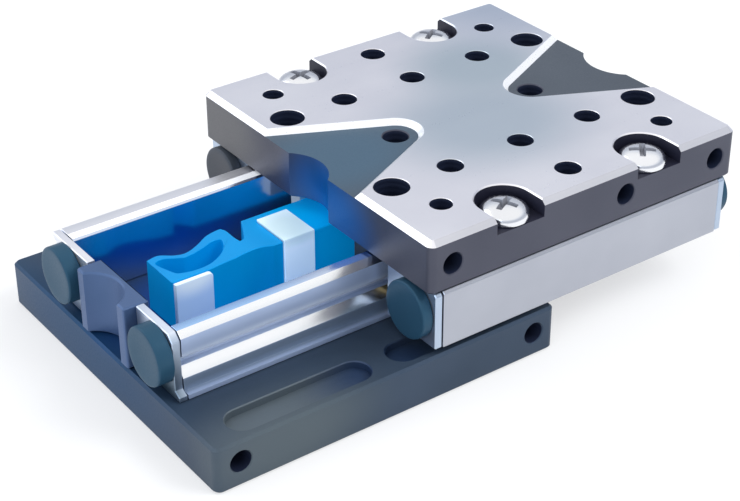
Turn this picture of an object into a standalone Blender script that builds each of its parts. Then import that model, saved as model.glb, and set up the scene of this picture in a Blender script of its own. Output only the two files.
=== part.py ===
"""Miniature linear translation stage: crossed-roller guide and flexure drive.

World frame: origin at the centre of the base's underside, +X along the travel,
+Z up. All lengths are metres.
"""
from math import acos, asin, atan2, cos, pi, radians, sin, sqrt

import bmesh
import bpy
from mathutils import Matrix, Vector

MM = 0.001

# Overall
PLATE_SIDE = 22.0 * MM
BASE_THICKNESS = 2.75 * MM
GUIDE_SPACE = 3.9 * MM
TOP_THICKNESS = 3.15 * MM
CARRIAGE_OFFSET = 13.2 * MM
CAGE_RATIO = 0.5
SEAT_GAP = 0.05 * MM

# Facets of round features
ROUND_STEPS = 28
HOLE_STEPS = 16
ARC_STEPS = 10
SLOT_STEPS = 7
CORNER_STEPS = 3
CURVE_STEPS = 4
SHARP_ANGLE = radians(30)

# How far cutters reach past the faces they cut
OVERCUT = 0.2 * MM

# Plate edges
CORNER_RADIUS = 0.45 * MM
EDGE_CHAMFER = 0.30 * MM
UNDERSIDE_CHAMFER = 0.15 * MM
NOTCH_RADIUS = 2.55 * MM
NOTCH_DEPTH = 0.85 * MM

# Holes of the top plate, placed from its edges
TOP_HOLE_DEPTH = 2.5 * MM
SMALL_HOLE_DIAMETER = 1.25 * MM
SMALL_HOLE_EDGE = 3.0 * MM
LARGE_HOLE_DIAMETER = 2.0 * MM
LARGE_HOLE_END = 2.0 * MM
LARGE_HOLE_EDGE = 6.0 * MM
MEDIUM_HOLE_DIAMETER = 1.5 * MM
MEDIUM_HOLE_EDGE = 6.0 * MM
CENTRE_ROW_EDGE = 2.0 * MM
RECESS_HOLE_END = 6.0 * MM
HOLE_RIM = 0.10 * MM
SIDE_HOLE_DIAMETER = 1.25 * MM
SIDE_HOLE_DEPTH = 1.8 * MM
TOP_SIDE_HOLE_END = 1.5 * MM
TOP_SIDE_HOLE_MIDDLE = 2.6 * MM
TOP_SIDE_HOLE_DROP = 1.65 * MM

# Bow-tie recess of the top plate
RECESS_DEPTH = 0.32 * MM
RECESS_NOSE_RADIUS = 1.30 * MM
RECESS_MOUTH_HALF = 4.35 * MM
RECESS_OVERRUN = 1.2 * MM

# Top screws
SCREW_END = 6.0 * MM
SCREW_EDGE = 1.4 * MM
SCREW_HEAD_DIAMETER = 2.78 * MM
SCREW_HEAD_HEIGHT = 0.75 * MM
SCREW_HEAD_SINK = 0.18 * MM
SCREW_SHANK_DIAMETER = 1.1 * MM
SCREW_LENGTH = 4.4 * MM
SCREW_TIP = 0.15 * MM
SCREW_HOLE_CLEARANCE = 0.10 * MM
SCREW_POCKET_RADIUS = 1.62 * MM
SCREW_POCKET_REACH = 2.0 * MM
CROSS_LENGTH = 1.55 * MM
CROSS_WIDTH = 0.34 * MM
CROSS_DEPTH = 0.42 * MM
PAN_PROFILE = ((0.55, 0.0), (0.78, 0.09), (0.92, 0.23), (1.0, 0.48))
SCREW_CROSS_TURN = {(1, -1): 12.0, (1, 1): 33.0, (-1, -1): 27.0, (-1, 1): 49.0}

# Base details, placed from the edges
BASE_SIDE_HOLE_END = 1.5 * MM
BASE_SIDE_HOLE_Z = 1.5 * MM
BASE_MOUNT_HOLE_DIAMETER = 1.6 * MM
BASE_MOUNT_HOLE_DEPTH = 1.9 * MM
BASE_MOUNT_HOLE_EDGE = 3.0 * MM
SLOT_WIDTH = 1.85 * MM
SLOT_EDGE = 1.5 * MM
SLOT_START_X = 0.65 * MM
SLOT_END = 1.65 * MM
SLOT_DEPTH = 0.45 * MM

# Crossed rollers
ROLLER_DIAMETER = 1.25 * MM
ROLLER_LENGTH = 1.12 * MM
ROLLER_CLEARANCE = 0.04 * MM
ROLLER_PITCH = 2.0 * MM
GUIDE_AXIS_EDGE = 4.59 * MM
GUIDE_AXIS_RISE = 1.76 * MM
RAIL_GAP = 0.50 * MM
CAGE_THICKNESS = 0.28 * MM
CAGE_HEIGHT = 2.5 * MM
CAGE_END_CLEARANCE = 0.08 * MM
CAGE_WINDOW_LENGTH = 1.42 * MM
CAGE_WINDOW_HEIGHT = 1.86 * MM
CAGE_CORNER = 0.25 * MM
RELIEF_HALF_WIDTH = 0.20 * MM
RELIEF_DEPTH = 0.12 * MM

# Fixed guide
GUIDE_RAIL_END = 1.22 * MM
GUIDE_RAIL_WIDTH = 1.03 * MM
GUIDE_TOP_CLEARANCE = 0.08 * MM
GUIDE_RAIL_BEVEL = 0.35 * MM
GUIDE_RAIL_EASE = 0.12 * MM
GUIDE_FOOT_REACH = 0.42 * MM
GUIDE_FOOT_HEIGHT = 0.28 * MM
END_PLATE_THICKNESS = 0.48 * MM
END_PLATE_FOOT_SLOPE = 0.2 * MM
END_PLATE_BEVEL = 0.40 * MM
FRONT_PLATE_GAP = 0.10 * MM
REAR_PLATE_GAP = 0.48 * MM
BUTTON_DIAMETER = 3.3 * MM
BUTTON_GAP = 0.60 * MM
BUTTON_RISE = 2.22 * MM
BUTTON_THICKNESS = 0.88 * MM
BUTTON_STEM_DIAMETER = 0.70 * MM
BUTTON_STEM_LENGTH = 0.50 * MM
HEAD_EASE = 0.10 * MM
REAR_SCREW_RISE = 3.15 * MM
REAR_SCREW_HEAD_DIAMETER = 1.10 * MM
REAR_SCREW_HEAD_HEIGHT = 0.40 * MM
REAR_SCREW_SHANK_DIAMETER = 0.50 * MM
REAR_SCREW_LENGTH = 2.2 * MM
REAR_SCREW_SLOT_WIDTH = 0.20 * MM
REAR_SCREW_SLOT_DEPTH = 0.18 * MM

# Screws from the underside of the base
UNDER_SCREW_HEAD_DIAMETER = 1.60 * MM
UNDER_SCREW_HEAD_HEIGHT = 0.70 * MM
UNDER_SCREW_SINK = 0.15 * MM
UNDER_SCREW_SHANK_DIAMETER = 0.60 * MM
UNDER_SCREW_CLEARANCE = 0.08 * MM
UNDER_SCREW_EASE = 0.08 * MM
RAIL_SCREW_END = 4.0 * MM
RAIL_SCREW_RISE = 0.90 * MM
DRIVE_SCREW_X = 5.6 * MM
DRIVE_SCREW_NEAR_Y = -0.05 * MM
DRIVE_SCREW_FAR_Y = 1.80 * MM
DRIVE_SCREW_RISE = 1.85 * MM
HEX_SOCKET_WIDTH = 0.70 * MM
HEX_SOCKET_DEPTH = 0.35 * MM

# Moving guide
CARRIAGE_RAIL_END = 0.95 * MM
CARRIAGE_RAIL_LIFT = 0.35 * MM
CARRIAGE_RAIL_BEVEL = 0.16 * MM
CARRIAGE_RAIL_EASE = 0.08 * MM
CARRIAGE_PLATE_THICKNESS = 0.46 * MM
CARRIAGE_PLATE_INSET = 0.06 * MM
DISC_DIAMETER = 3.34 * MM
DISC_EDGE = 1.9 * MM
DISC_RISE = 2.20 * MM
DISC_THICKNESS = 0.60 * MM
DISC_SHANK_DIAMETER = 1.10 * MM
DISC_SHANK_LENGTH = 2.6 * MM

# Cable exit block
BLOCK_HALF_WIDTH = 2.5 * MM
BLOCK_LENGTH = 1.5 * MM
BLOCK_TOP_CLEARANCE = 0.08 * MM
BLOCK_EASE = 0.15 * MM
BLOCK_CHAMFER = 0.12 * MM
CHANNEL_RADIUS = 2.0 * MM
CHANNEL_DEPTH = 1.15 * MM

# Drive
DRIVE_HEIGHT = 3.10 * MM
DRIVE_LENGTH = 13.52 * MM
DRIVE_WIDTH = 3.30 * MM
DRIVE_FRONT_X = -7.12 * MM
DRIVE_NEAR_Y = -0.80 * MM
DRIVE_EASE = 0.12 * MM

# Outlines of the flexure end, as fractions of its length and of the drive width
FLEXURE_LENGTH = 6.38 * MM
FLEXURE_SPLIT = 0.461
POCKET_FRONT = 0.060
POCKET_REAR = 0.643
ARM_ROOT = 0.815
WAIST_LINE = (
    (0.392, 0.0),
    (0.516, 0.030),
    (0.633, 0.045),
    (0.765, 0.085),
    (0.895, 0.085),
    (1.010, 0.0),
)
STEP_LINE = (
    (1.0, 1.0),
    (0.969, 0.870),
    (0.928, 0.712),
    (0.867, 0.510),
)
POCKET_LINE = (
    (0.597, 0.355),
    (0.503, 0.224),
    (0.382, 0.133),
    (0.245, 0.124),
    (0.130, 0.185),
    (0.097, 0.248),
)
ARM_OUTER_LINE = (
    (0.804, 0.609),
    (0.806, 0.855),
    (0.793, 0.933),
    (0.763, 0.985),
    (0.621, 0.930),
    (0.476, 0.770),
    (0.339, 0.667),
    (0.237, 0.706),
    (0.119, 0.858),
    (0.0, 0.827),
)
ARM_INNER_LINE = (
    (0.034, 0.627),
    (0.063, 0.703),
    (0.127, 0.715),
    (0.241, 0.597),
    (0.303, 0.552),
    (0.422, 0.591),
    (0.534, 0.658),
    (0.603, 0.709),
    (0.660, 0.715),
    (0.694, 0.673),
    (0.668, 0.524),
)

# Strap, side plate, stack, tip and runner of the drive
STRAP_THICKNESS = 0.12 * MM
STRAP_FRONT_X = -0.10 * MM
STRAP_REAR_X = 1.90 * MM
STRAP_FAR_Y = 1.85 * MM
STRAP_LIFT = 0.10 * MM
STRAP_EASE = 0.06 * MM
SIDE_PLATE_THICKNESS = 0.26 * MM
SIDE_PLATE_FRONT_X = -7.12 * MM
SIDE_PLATE_REAR_X = -4.78 * MM
SIDE_PLATE_CORNER = 0.22 * MM
SIDE_PLATE_DROP = 0.04 * MM
STACK_FRONT_X = 0.60 * MM
STACK_REAR_X = 4.75 * MM
STACK_NEAR_Y = 0.35 * MM
STACK_FAR_Y = 1.80 * MM
STACK_HEIGHT = 2.35 * MM
STACK_CLEARANCE = 0.10 * MM
TIP_DIAMETER = 0.80 * MM
TIP_X = 4.20 * MM
TIP_RISE = 1.95 * MM
TIP_CLEARANCE = 0.10 * MM
RUNNER_WIDTH = 0.90 * MM
RUNNER_NEAR_Y = 3.10 * MM
RUNNER_RISE = 1.50 * MM
RUNNER_FRONT = -9.55 * MM
RUNNER_REAR = 5.00 * MM

# Encoder
SCALE_WIDTH = 1.40 * MM
SCALE_THICKNESS = 0.28 * MM
SCALE_FRONT = -9.30 * MM
SCALE_REAR = 6.30 * MM
SCALE_CLEARANCE = 0.06 * MM
BOARD_FRONT_X = 2.80 * MM
BOARD_REAR_X = 8.20 * MM
BOARD_RAIL_GAP = 0.48 * MM
BOARD_WIDTH = 2.70 * MM
BOARD_THICKNESS = 0.50 * MM
HEAD_FRONT_X = 3.40 * MM
HEAD_REAR_X = 6.80 * MM
HEAD_INSET = 0.30 * MM
HEAD_WIDTH = 1.70 * MM
HEAD_RISE = 3.40 * MM
HEAD_CHAMFER = 0.15 * MM

# Worked out from the sizes above
HALF_SIDE = PLATE_SIDE / 2
PLATE_UNDERSIDE = BASE_THICKNESS + GUIDE_SPACE
HEIGHT = PLATE_UNDERSIDE + TOP_THICKNESS
BASE_SEAT = BASE_THICKNESS + SEAT_GAP
PLATE_SEAT = PLATE_UNDERSIDE - SEAT_GAP
GUIDE_AXIS_Y = HALF_SIDE - GUIDE_AXIS_EDGE
GUIDE_AXIS_Z = BASE_THICKNESS + GUIDE_AXIS_RISE
GROOVE_HALF = (ROLLER_DIAMETER / 2 + ROLLER_CLEARANCE) * sqrt(2)
GUIDE_LAND_Y = GUIDE_AXIS_Y - RAIL_GAP / 2
GUIDE_RAIL_INNER_Y = GUIDE_LAND_Y - GUIDE_RAIL_WIDTH
GUIDE_RAIL_MIDDLE_Y = GUIDE_LAND_Y - GUIDE_RAIL_WIDTH / 2
GUIDE_RAIL_HALF_LENGTH = HALF_SIDE - GUIDE_RAIL_END
GUIDE_RAIL_TOP = PLATE_UNDERSIDE - GUIDE_TOP_CLEARANCE
GUIDE_FOOT_Y = GUIDE_LAND_Y + GUIDE_FOOT_REACH
CARRIAGE_LAND_Y = GUIDE_AXIS_Y + RAIL_GAP / 2
CARRIAGE_RAIL_HALF_LENGTH = HALF_SIDE - CARRIAGE_RAIL_END
CARRIAGE_RAIL_BOTTOM = BASE_THICKNESS + CARRIAGE_RAIL_LIFT
CAGE_LENGTH = 2 * (GUIDE_RAIL_HALF_LENGTH - CARRIAGE_OFFSET * CAGE_RATIO - CAGE_END_CLEARANCE)
ROLLER_COUNT = int((CAGE_LENGTH - CAGE_WINDOW_LENGTH) / ROLLER_PITCH) + 1
SCREW_X = HALF_SIDE - SCREW_END
SCREW_Y = HALF_SIDE - SCREW_EDGE
SCREW_FLOOR = HEIGHT - SCREW_HEAD_SINK - SCREW_HEAD_HEIGHT - SEAT_GAP
RECESS_HOLE_X = HALF_SIDE - RECESS_HOLE_END
RAIL_SCREW_X = HALF_SIDE - RAIL_SCREW_END
RAIL_SCREW_TOP = BASE_THICKNESS + RAIL_SCREW_RISE
BUTTON_Y = BLOCK_HALF_WIDTH + BUTTON_GAP + BUTTON_DIAMETER / 2
BUTTON_Z = BASE_THICKNESS + BUTTON_RISE
REAR_SCREW_Z = BASE_THICKNESS + REAR_SCREW_RISE
DISC_Y = HALF_SIDE - DISC_EDGE
DISC_Z = BASE_THICKNESS + DISC_RISE
BLOCK_TOP = PLATE_UNDERSIDE - BLOCK_TOP_CLEARANCE
FRONT_PLATE_INNER_Y = BLOCK_HALF_WIDTH + FRONT_PLATE_GAP
REAR_PLATE_INNER_Y = RUNNER_NEAR_Y + RUNNER_WIDTH + REAR_PLATE_GAP
DRIVE_TOP = BASE_THICKNESS + DRIVE_HEIGHT
DRIVE_REAR_X = DRIVE_FRONT_X + DRIVE_LENGTH
DRIVE_FAR_Y = DRIVE_NEAR_Y + DRIVE_WIDTH
DRIVE_SCREW_TOP = BASE_THICKNESS + DRIVE_SCREW_RISE
STACK_TOP = BASE_THICKNESS + STACK_HEIGHT
TIP_Z = BASE_THICKNESS + TIP_RISE
HEAD_TOP = BASE_THICKNESS + HEAD_RISE
BOARD_NEAR_Y = BOARD_RAIL_GAP - GUIDE_RAIL_INNER_Y
BOARD_FAR_Y = BOARD_NEAR_Y + BOARD_WIDTH
HEAD_NEAR_Y = BOARD_NEAR_Y + HEAD_INSET
HEAD_FAR_Y = HEAD_NEAR_Y + HEAD_WIDTH
SCALE_Y = (HEAD_NEAR_Y + HEAD_FAR_Y) / 2
RUNNER_BOTTOM = BASE_THICKNESS + RUNNER_RISE

for old in list(bpy.data.objects):
    bpy.data.objects.remove(old, do_unlink=True)

PARTS = bpy.data.collections.new("linear_stage")
CUTTERS = bpy.data.collections.new("cutters")
bpy.context.scene.collection.children.link(PARTS)
bpy.context.scene.collection.children.link(CUTTERS)


def material(name, colour, metallic, roughness):
    """A Principled material of one colour."""
    made = bpy.data.materials.new(name)
    made.use_nodes = True
    shader = made.node_tree.nodes["Principled BSDF"]
    shader.inputs["Base Color"].default_value = (*colour, 1.0)
    shader.inputs["Metallic"].default_value = metallic
    shader.inputs["Roughness"].default_value = roughness
    return made


def place(name, bm, slot=None, origin=(0.0, 0.0, 0.0), parent=None):
    """Turn world-space geometry into an object whose origin is at the given point."""
    bmesh.ops.translate(bm, verts=bm.verts, vec=-Vector(origin))
    mesh = bpy.data.meshes.new(name)
    bm.to_mesh(mesh)
    bm.free()
    mesh.shade_smooth()
    mesh.set_sharp_from_angle(angle=SHARP_ANGLE)
    made = bpy.data.objects.new(name, mesh)
    made.location = origin
    if parent is not None:
        made.parent = parent
        made.location = Vector(origin) - parent.location
    if slot is None:
        CUTTERS.objects.link(made)
        made.hide_render = True
        made.display_type = "WIRE"
    else:
        PARTS.objects.link(made)
        mesh.materials.append(slot)
    return made


def prism(loops, low, high, axis="Z"):
    """Extrude a filled outline, the first loop, with the other loops as holes."""
    curve = bpy.data.curves.new("outline", "CURVE")
    curve.dimensions = "2D"
    curve.fill_mode = "BOTH"
    curve.extrude = (high - low) / 2
    for loop in loops:
        spline = curve.splines.new("POLY")
        spline.points.add(len(loop) - 1)
        for point, (u, v) in zip(spline.points, loop):
            point.co = (u, v, 0.0, 1.0)
        spline.use_cyclic_u = True
    holder = bpy.data.objects.new("outline", curve)
    PARTS.objects.link(holder)
    graph = bpy.context.evaluated_depsgraph_get()
    mesh = bpy.data.meshes.new_from_object(holder.evaluated_get(graph))
    bm = bmesh.new()
    bm.from_mesh(mesh)
    bpy.data.objects.remove(holder)
    bpy.data.curves.remove(curve)
    bpy.data.meshes.remove(mesh)
    bmesh.ops.remove_doubles(bm, verts=bm.verts, dist=0.001 * MM)
    bmesh.ops.dissolve_limit(bm, angle_limit=0.002, verts=bm.verts, edges=bm.edges)
    columns = {
        "Z": ((1, 0, 0), (0, 1, 0), (0, 0, 1)),
        "X": ((0, 1, 0), (0, 0, 1), (1, 0, 0)),
        "Y": ((1, 0, 0), (0, 0, 1), (0, -1, 0)),
    }[axis]
    turn = Matrix(columns).transposed().to_4x4()
    shift = Vector(columns[2])
    middle = (low + high) / 2
    if axis == "Y":
        shift = Vector((0.0, 1.0, 0.0))
    bmesh.ops.transform(bm, matrix=Matrix.Translation(shift * middle) @ turn, verts=bm.verts)
    bmesh.ops.recalc_face_normals(bm, faces=bm.faces)
    return bm


def block(low, high):
    """A box between two corners."""
    bm = bmesh.new()
    bmesh.ops.create_cube(bm, size=1.0)
    size = Vector(high) - Vector(low)
    bmesh.ops.scale(bm, vec=size, verts=bm.verts)
    bmesh.ops.translate(bm, vec=(Vector(high) + Vector(low)) / 2, verts=bm.verts)
    return bm


def join(target, *others):
    """Add the geometry of other bmeshes to the first one."""
    for other in others:
        mesh = bpy.data.meshes.new("joined")
        other.to_mesh(mesh)
        other.free()
        target.from_mesh(mesh)
        bpy.data.meshes.remove(mesh)
    return target


def rod(start, end, radius, steps=HOLE_STEPS):
    """A round bar between two points."""
    start, end = Vector(start), Vector(end)
    along = end - start
    bm = bmesh.new()
    bmesh.ops.create_cone(
        bm,
        cap_ends=True,
        segments=steps,
        radius1=radius,
        radius2=radius,
        depth=along.length,
    )
    turn = along.to_track_quat("Z", "X").to_matrix().to_4x4()
    middle = Matrix.Translation((start + end) / 2)
    bmesh.ops.transform(bm, matrix=middle @ turn, verts=bm.verts)
    return bm


def hole(mouth, inward, diameter, depth, rim=HOLE_RIM):
    """Cutter for a blind round hole with a small countersunk rim."""
    mouth, inward = Vector(mouth), Vector(inward)
    radius = diameter / 2
    bm = spun(
        [
            (0.0, OVERCUT),
            (radius + rim + OVERCUT, OVERCUT),
            (radius, -rim),
            (radius, -depth),
            (0.0, -depth - radius * 0.5),
        ],
        HOLE_STEPS,
    )
    turn = (-inward).to_track_quat("Z", "X").to_matrix().to_4x4()
    bmesh.ops.transform(bm, matrix=Matrix.Translation(mouth) @ turn, verts=bm.verts)
    return bm


def spun(profile, steps=ROUND_STEPS):
    """Spin a profile of (radius, height) pairs, listed from its top down, about Z."""
    mesh = bpy.data.meshes.new("profile")
    points = [(radius, 0.0, height) for radius, height in profile]
    mesh.from_pydata(points, [(i, i + 1) for i in range(len(points) - 1)], [])
    holder = bpy.data.objects.new("profile", mesh)
    PARTS.objects.link(holder)
    spin = holder.modifiers.new("spin", "SCREW")
    spin.axis = "Z"
    spin.steps = steps
    spin.render_steps = steps
    spin.use_merge_vertices = True
    spin.merge_threshold = 0.001 * MM
    graph = bpy.context.evaluated_depsgraph_get()
    solid = bpy.data.meshes.new_from_object(holder.evaluated_get(graph))
    bm = bmesh.new()
    bm.from_mesh(solid)
    bpy.data.objects.remove(holder)
    bpy.data.meshes.remove(mesh)
    bpy.data.meshes.remove(solid)
    bmesh.ops.remove_doubles(bm, verts=bm.verts, dist=0.001 * MM)
    return bm


def turned(name, profile, slot, head, axis, parent=None, steps=ROUND_STEPS):
    """A turned piece whose profile's zero is at the head point, its top facing along the axis."""
    bm = spun(profile, steps)
    turn = Vector(axis).to_track_quat("Z", "X").to_matrix().to_4x4()
    bmesh.ops.transform(bm, matrix=Matrix.Translation(Vector(head)) @ turn, verts=bm.verts)
    return place(name, bm, slot, head, parent)


def cut(target, cutter, operation="DIFFERENCE"):
    """Exact Boolean of one object with a cutter object."""
    step = target.modifiers.new(operation.lower(), "BOOLEAN")
    step.operation = operation
    step.solver = "EXACT"
    step.object = cutter
    return step


def arc(centre, radius, start, end, steps):
    """Points of an arc, both ends included."""
    return [
        (
            centre[0] + radius * cos(start + (end - start) * i / steps),
            centre[1] + radius * sin(start + (end - start) * i / steps),
        )
        for i in range(steps + 1)
    ]


def mirrored(points, side):
    """The outline on the +Y side, or its mirror image on the -Y side."""
    return [(side * y, z) for y, z in points]


def smooth_line(points, steps):
    """Points of a curve that passes smoothly through the given ones."""
    line = []
    padded = [points[0], *points, points[-1]]
    for a, b, c, d in zip(padded, padded[1:], padded[2:], padded[3:]):
        for i in range(steps):
            t = i / steps
            line.append(
                tuple(
                    0.5
                    * (
                        2 * q
                        + (r - p) * t
                        + (2 * p - 5 * q + 4 * r - s) * t * t
                        + (3 * q - p - 3 * r + s) * t ** 3
                    )
                    for p, q, r, s in zip(a, b, c, d)
                )
            )
    line.append(points[-1])
    return line


def plate_outline(notched):
    """Square outline with rounded corners, and a round notch in both ends of the top plate."""
    r = CORNER_RADIUS
    h = HALF_SIDE
    centre = h + NOTCH_RADIUS - NOTCH_DEPTH
    half = acos((NOTCH_RADIUS - NOTCH_DEPTH) / NOTCH_RADIUS)
    line = arc((h - r, -h + r), r, -pi / 2, 0, CORNER_STEPS)
    if notched:
        line += arc((centre, 0.0), NOTCH_RADIUS, pi + half, pi - half, ARC_STEPS)
    line += arc((h - r, h - r), r, 0, pi / 2, CORNER_STEPS)
    line += arc((-h + r, h - r), r, pi / 2, pi, CORNER_STEPS)
    if notched:
        line += arc((-centre, 0.0), NOTCH_RADIUS, half, -half, ARC_STEPS)
    line += arc((-h + r, -h + r), r, pi, 3 * pi / 2, CORNER_STEPS)
    return line


def edge_chamfer(bm, height, amount):
    """Chamfer the outline edges of the flat face at one height."""
    near = 0.001 * MM
    edges = []
    for edge in bm.edges:
        if any(abs(v.co.z - height) > near for v in edge.verts):
            continue
        if any(abs(f.normal.z) < 0.5 for f in edge.link_faces):
            edges.append(edge)
    bmesh.ops.bevel(
        bm,
        geom=edges,
        offset=amount,
        offset_type="OFFSET",
        segments=1,
        affect="EDGES",
        clamp_overlap=False,
    )


def groove_line(land_y, direction):
    """V groove with a relief at its root, listed upwards from its lower mouth."""
    root = GUIDE_AXIS_Y - direction * GROOVE_HALF
    half = GROOVE_HALF - RAIL_GAP / 2
    relief = RELIEF_HALF_WIDTH
    near = root + direction * relief
    deep = root - direction * RELIEF_DEPTH
    z = GUIDE_AXIS_Z
    return [
        (land_y, z - half),
        (near, z - relief),
        (deep, z - relief),
        (deep, z + relief),
        (near, z + relief),
        (land_y, z + half),
    ]


def recess_outline(grow):
    """Bow-tie recess outline at the +X end, grown outwards by an amount."""
    mouth = (HALF_SIDE, RECESS_MOUTH_HALF)
    to_mouth = Vector((mouth[0] - RECESS_HOLE_X, mouth[1]))
    tangent = atan2(to_mouth.y, to_mouth.x) - asin(RECESS_NOSE_RADIUS / to_mouth.length)
    normal = Vector((-sin(tangent), cos(tangent)))
    along = Vector((cos(tangent), sin(tangent)))
    far = Vector(mouth) + normal * grow + along * RECESS_OVERRUN
    start = atan2(normal.y, normal.x)
    nose = arc((RECESS_HOLE_X, 0.0), RECESS_NOSE_RADIUS + grow, start, 2 * pi - start, ARC_STEPS)
    return [(far.x, far.y), *nose, (far.x, -far.y)]


def recess_cutter(side):
    """Shallow recess with a wall sloped at 45 degrees."""
    bm = bmesh.new()
    floor = recess_outline(0.0)
    mouth = recess_outline(RECESS_DEPTH + OVERCUT)
    x = CARRIAGE_OFFSET
    low = [bm.verts.new((x + side * u, v, HEIGHT - RECESS_DEPTH)) for u, v in floor]
    high = [bm.verts.new((x + side * u, v, HEIGHT + OVERCUT)) for u, v in mouth]
    bm.faces.new(low)
    bm.faces.new(high)
    for i in range(len(low)):
        j = (i + 1) % len(low)
        bm.faces.new([low[i], low[j], high[j], high[i]])
    bmesh.ops.recalc_face_normals(bm, faces=bm.faces)
    return bm


# Materials
BASE_METAL = material("base_anodised", (0.135, 0.155, 0.165), 0.85, 0.42)
TOP_METAL = material("top_plate_satin", (0.62, 0.67, 0.76), 0.9, 0.34)
RAIL_STEEL = material("guide_rail_steel", (0.72, 0.74, 0.80), 1.0, 0.22)
OUTER_STEEL = material("carriage_rail_steel", (0.55, 0.58, 0.66), 0.9, 0.35)
PLATE_STEEL = material("end_plate_steel", (0.60, 0.62, 0.72), 0.9, 0.35)
DARK_METAL = material("end_fitting_dark", (0.16, 0.20, 0.25), 0.6, 0.45)
BLOCK_METAL = material("cable_block_anodised", (0.17, 0.20, 0.27), 0.6, 0.5)
SCREW_STEEL = material("screw_steel", (0.78, 0.80, 0.84), 1.0, 0.25)
UNDER_STEEL = material("underside_screw_steel", (0.30, 0.31, 0.34), 1.0, 0.35)
ROLLER_STEEL = material("roller_steel", (0.75, 0.76, 0.78), 1.0, 0.12)
CAGE_BRASS = material("cage_brass", (0.70, 0.52, 0.22), 1.0, 0.35)
DRIVE_BLUE = material("drive_body_blue", (0.02, 0.30, 0.72), 0.5, 0.35)
FLEX_BLUE = material("flexure_blue", (0.01, 0.40, 0.80), 0.5, 0.3)
STRAP_LIGHT = material("strap_light", (0.82, 0.84, 0.95), 0.2, 0.4)
PIEZO_CERAMIC = material("piezo_ceramic", (0.62, 0.50, 0.34), 0.0, 0.6)
TIP_CERAMIC = material("tip_ceramic", (0.88, 0.88, 0.86), 0.0, 0.25)
RUNNER_CERAMIC = material("runner_ceramic", (0.90, 0.89, 0.85), 0.0, 0.3)
SCALE_GLASS = material("scale_gold", (0.72, 0.58, 0.28), 0.9, 0.2)
HEAD_PLASTIC = material("encoder_head_black", (0.02, 0.02, 0.025), 0.0, 0.4)
BOARD_GREEN = material("encoder_board_green", (0.01, 0.16, 0.07), 0.0, 0.45)


SIDES = ((1, "left"), (-1, "right"))
ENDS = ((-1, "front"), (1, "rear"))


def axis_empty(name, location):
    """Empty on the line along which a group of pieces slides."""
    made = bpy.data.objects.new(name, None)
    made.location = location
    made.empty_display_size = 3 * MM
    PARTS.objects.link(made)
    return made


CARRIAGE = axis_empty("carriage_axis", (CARRIAGE_OFFSET, 0.0, GUIDE_AXIS_Z))
CAGES = {
    side: axis_empty(
        f"cage_{label}_axis",
        (CARRIAGE_OFFSET * CAGE_RATIO, side * GUIDE_AXIS_Y, GUIDE_AXIS_Z),
    )
    for side, label in SIDES
}

# Base plate
bm = prism([plate_outline(False)], 0.0, BASE_THICKNESS)
edge_chamfer(bm, BASE_THICKNESS, UNDERSIDE_CHAMFER)
edge_chamfer(bm, 0.0, UNDERSIDE_CHAMFER)
base = place("base_plate", bm, BASE_METAL)

cutters = bmesh.new()
for side in (1, -1):
    for end in (1, -1):
        side_mouth = (end * (HALF_SIDE - BASE_SIDE_HOLE_END), side * HALF_SIDE, BASE_SIDE_HOLE_Z)
        mount = HALF_SIDE - BASE_MOUNT_HOLE_EDGE
        join(
            cutters,
            hole(side_mouth, (0, -side, 0), SIDE_HOLE_DIAMETER, SIDE_HOLE_DEPTH),
            hole(
                (end * mount, side * mount, 0.0),
                (0, 0, 1),
                BASE_MOUNT_HOLE_DIAMETER,
                BASE_MOUNT_HOLE_DEPTH,
            ),
        )
cut(base, place("base_hole_cutter", cutters))

cutters = bmesh.new()
for side in (1, -1):
    for end in (1, -1):
        r = SLOT_WIDTH / 2
        y = side * (HALF_SIDE - SLOT_EDGE)
        near = end * (SLOT_START_X + r)
        far = end * (HALF_SIDE - SLOT_END - r)
        low_x, high_x = min(near, far), max(near, far)
        outline = arc((high_x, y), r, -pi / 2, pi / 2, SLOT_STEPS)
        outline += arc((low_x, y), r, pi / 2, 3 * pi / 2, SLOT_STEPS)
        join(cutters, prism([outline], BASE_THICKNESS - SLOT_DEPTH, BASE_THICKNESS + OVERCUT))
cut(base, place("base_slot_cutter", cutters))


def under_screw_places():
    """Names, plan positions and top heights of the screws from under the base."""
    places = []
    for side, side_name in SIDES:
        for end, end_name in ENDS:
            places.append(
                (
                    f"guide_rail_screw_{side_name}_{end_name}",
                    end * RAIL_SCREW_X,
                    side * GUIDE_RAIL_MIDDLE_Y,
                    RAIL_SCREW_TOP,
                )
            )
    places.append(("drive_screw_near", DRIVE_SCREW_X, DRIVE_SCREW_NEAR_Y, DRIVE_SCREW_TOP))
    places.append(("drive_screw_far", DRIVE_SCREW_X, DRIVE_SCREW_FAR_Y, DRIVE_SCREW_TOP))
    return places


def under_screw_holes(x, y, top, low):
    """Counterbore and clearance hole of one screw from under the base."""
    head = UNDER_SCREW_HEAD_DIAMETER / 2 + UNDER_SCREW_CLEARANCE
    shank = UNDER_SCREW_SHANK_DIAMETER / 2 + UNDER_SCREW_CLEARANCE
    floor = UNDER_SCREW_SINK + UNDER_SCREW_HEAD_HEIGHT + SEAT_GAP
    bm = spun(
        [(0.0, top), (shank, top), (shank, floor), (head, floor), (head, low), (0.0, low)],
        HOLE_STEPS,
    )
    bmesh.ops.translate(bm, vec=(x, y, 0.0), verts=bm.verts)
    return bm


cutters = bmesh.new()
for name, x, y, top in under_screw_places():
    join(cutters, under_screw_holes(x, y, BASE_THICKNESS + OVERCUT, -OVERCUT))
cut(base, place("base_counterbore_cutter", cutters))

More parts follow.
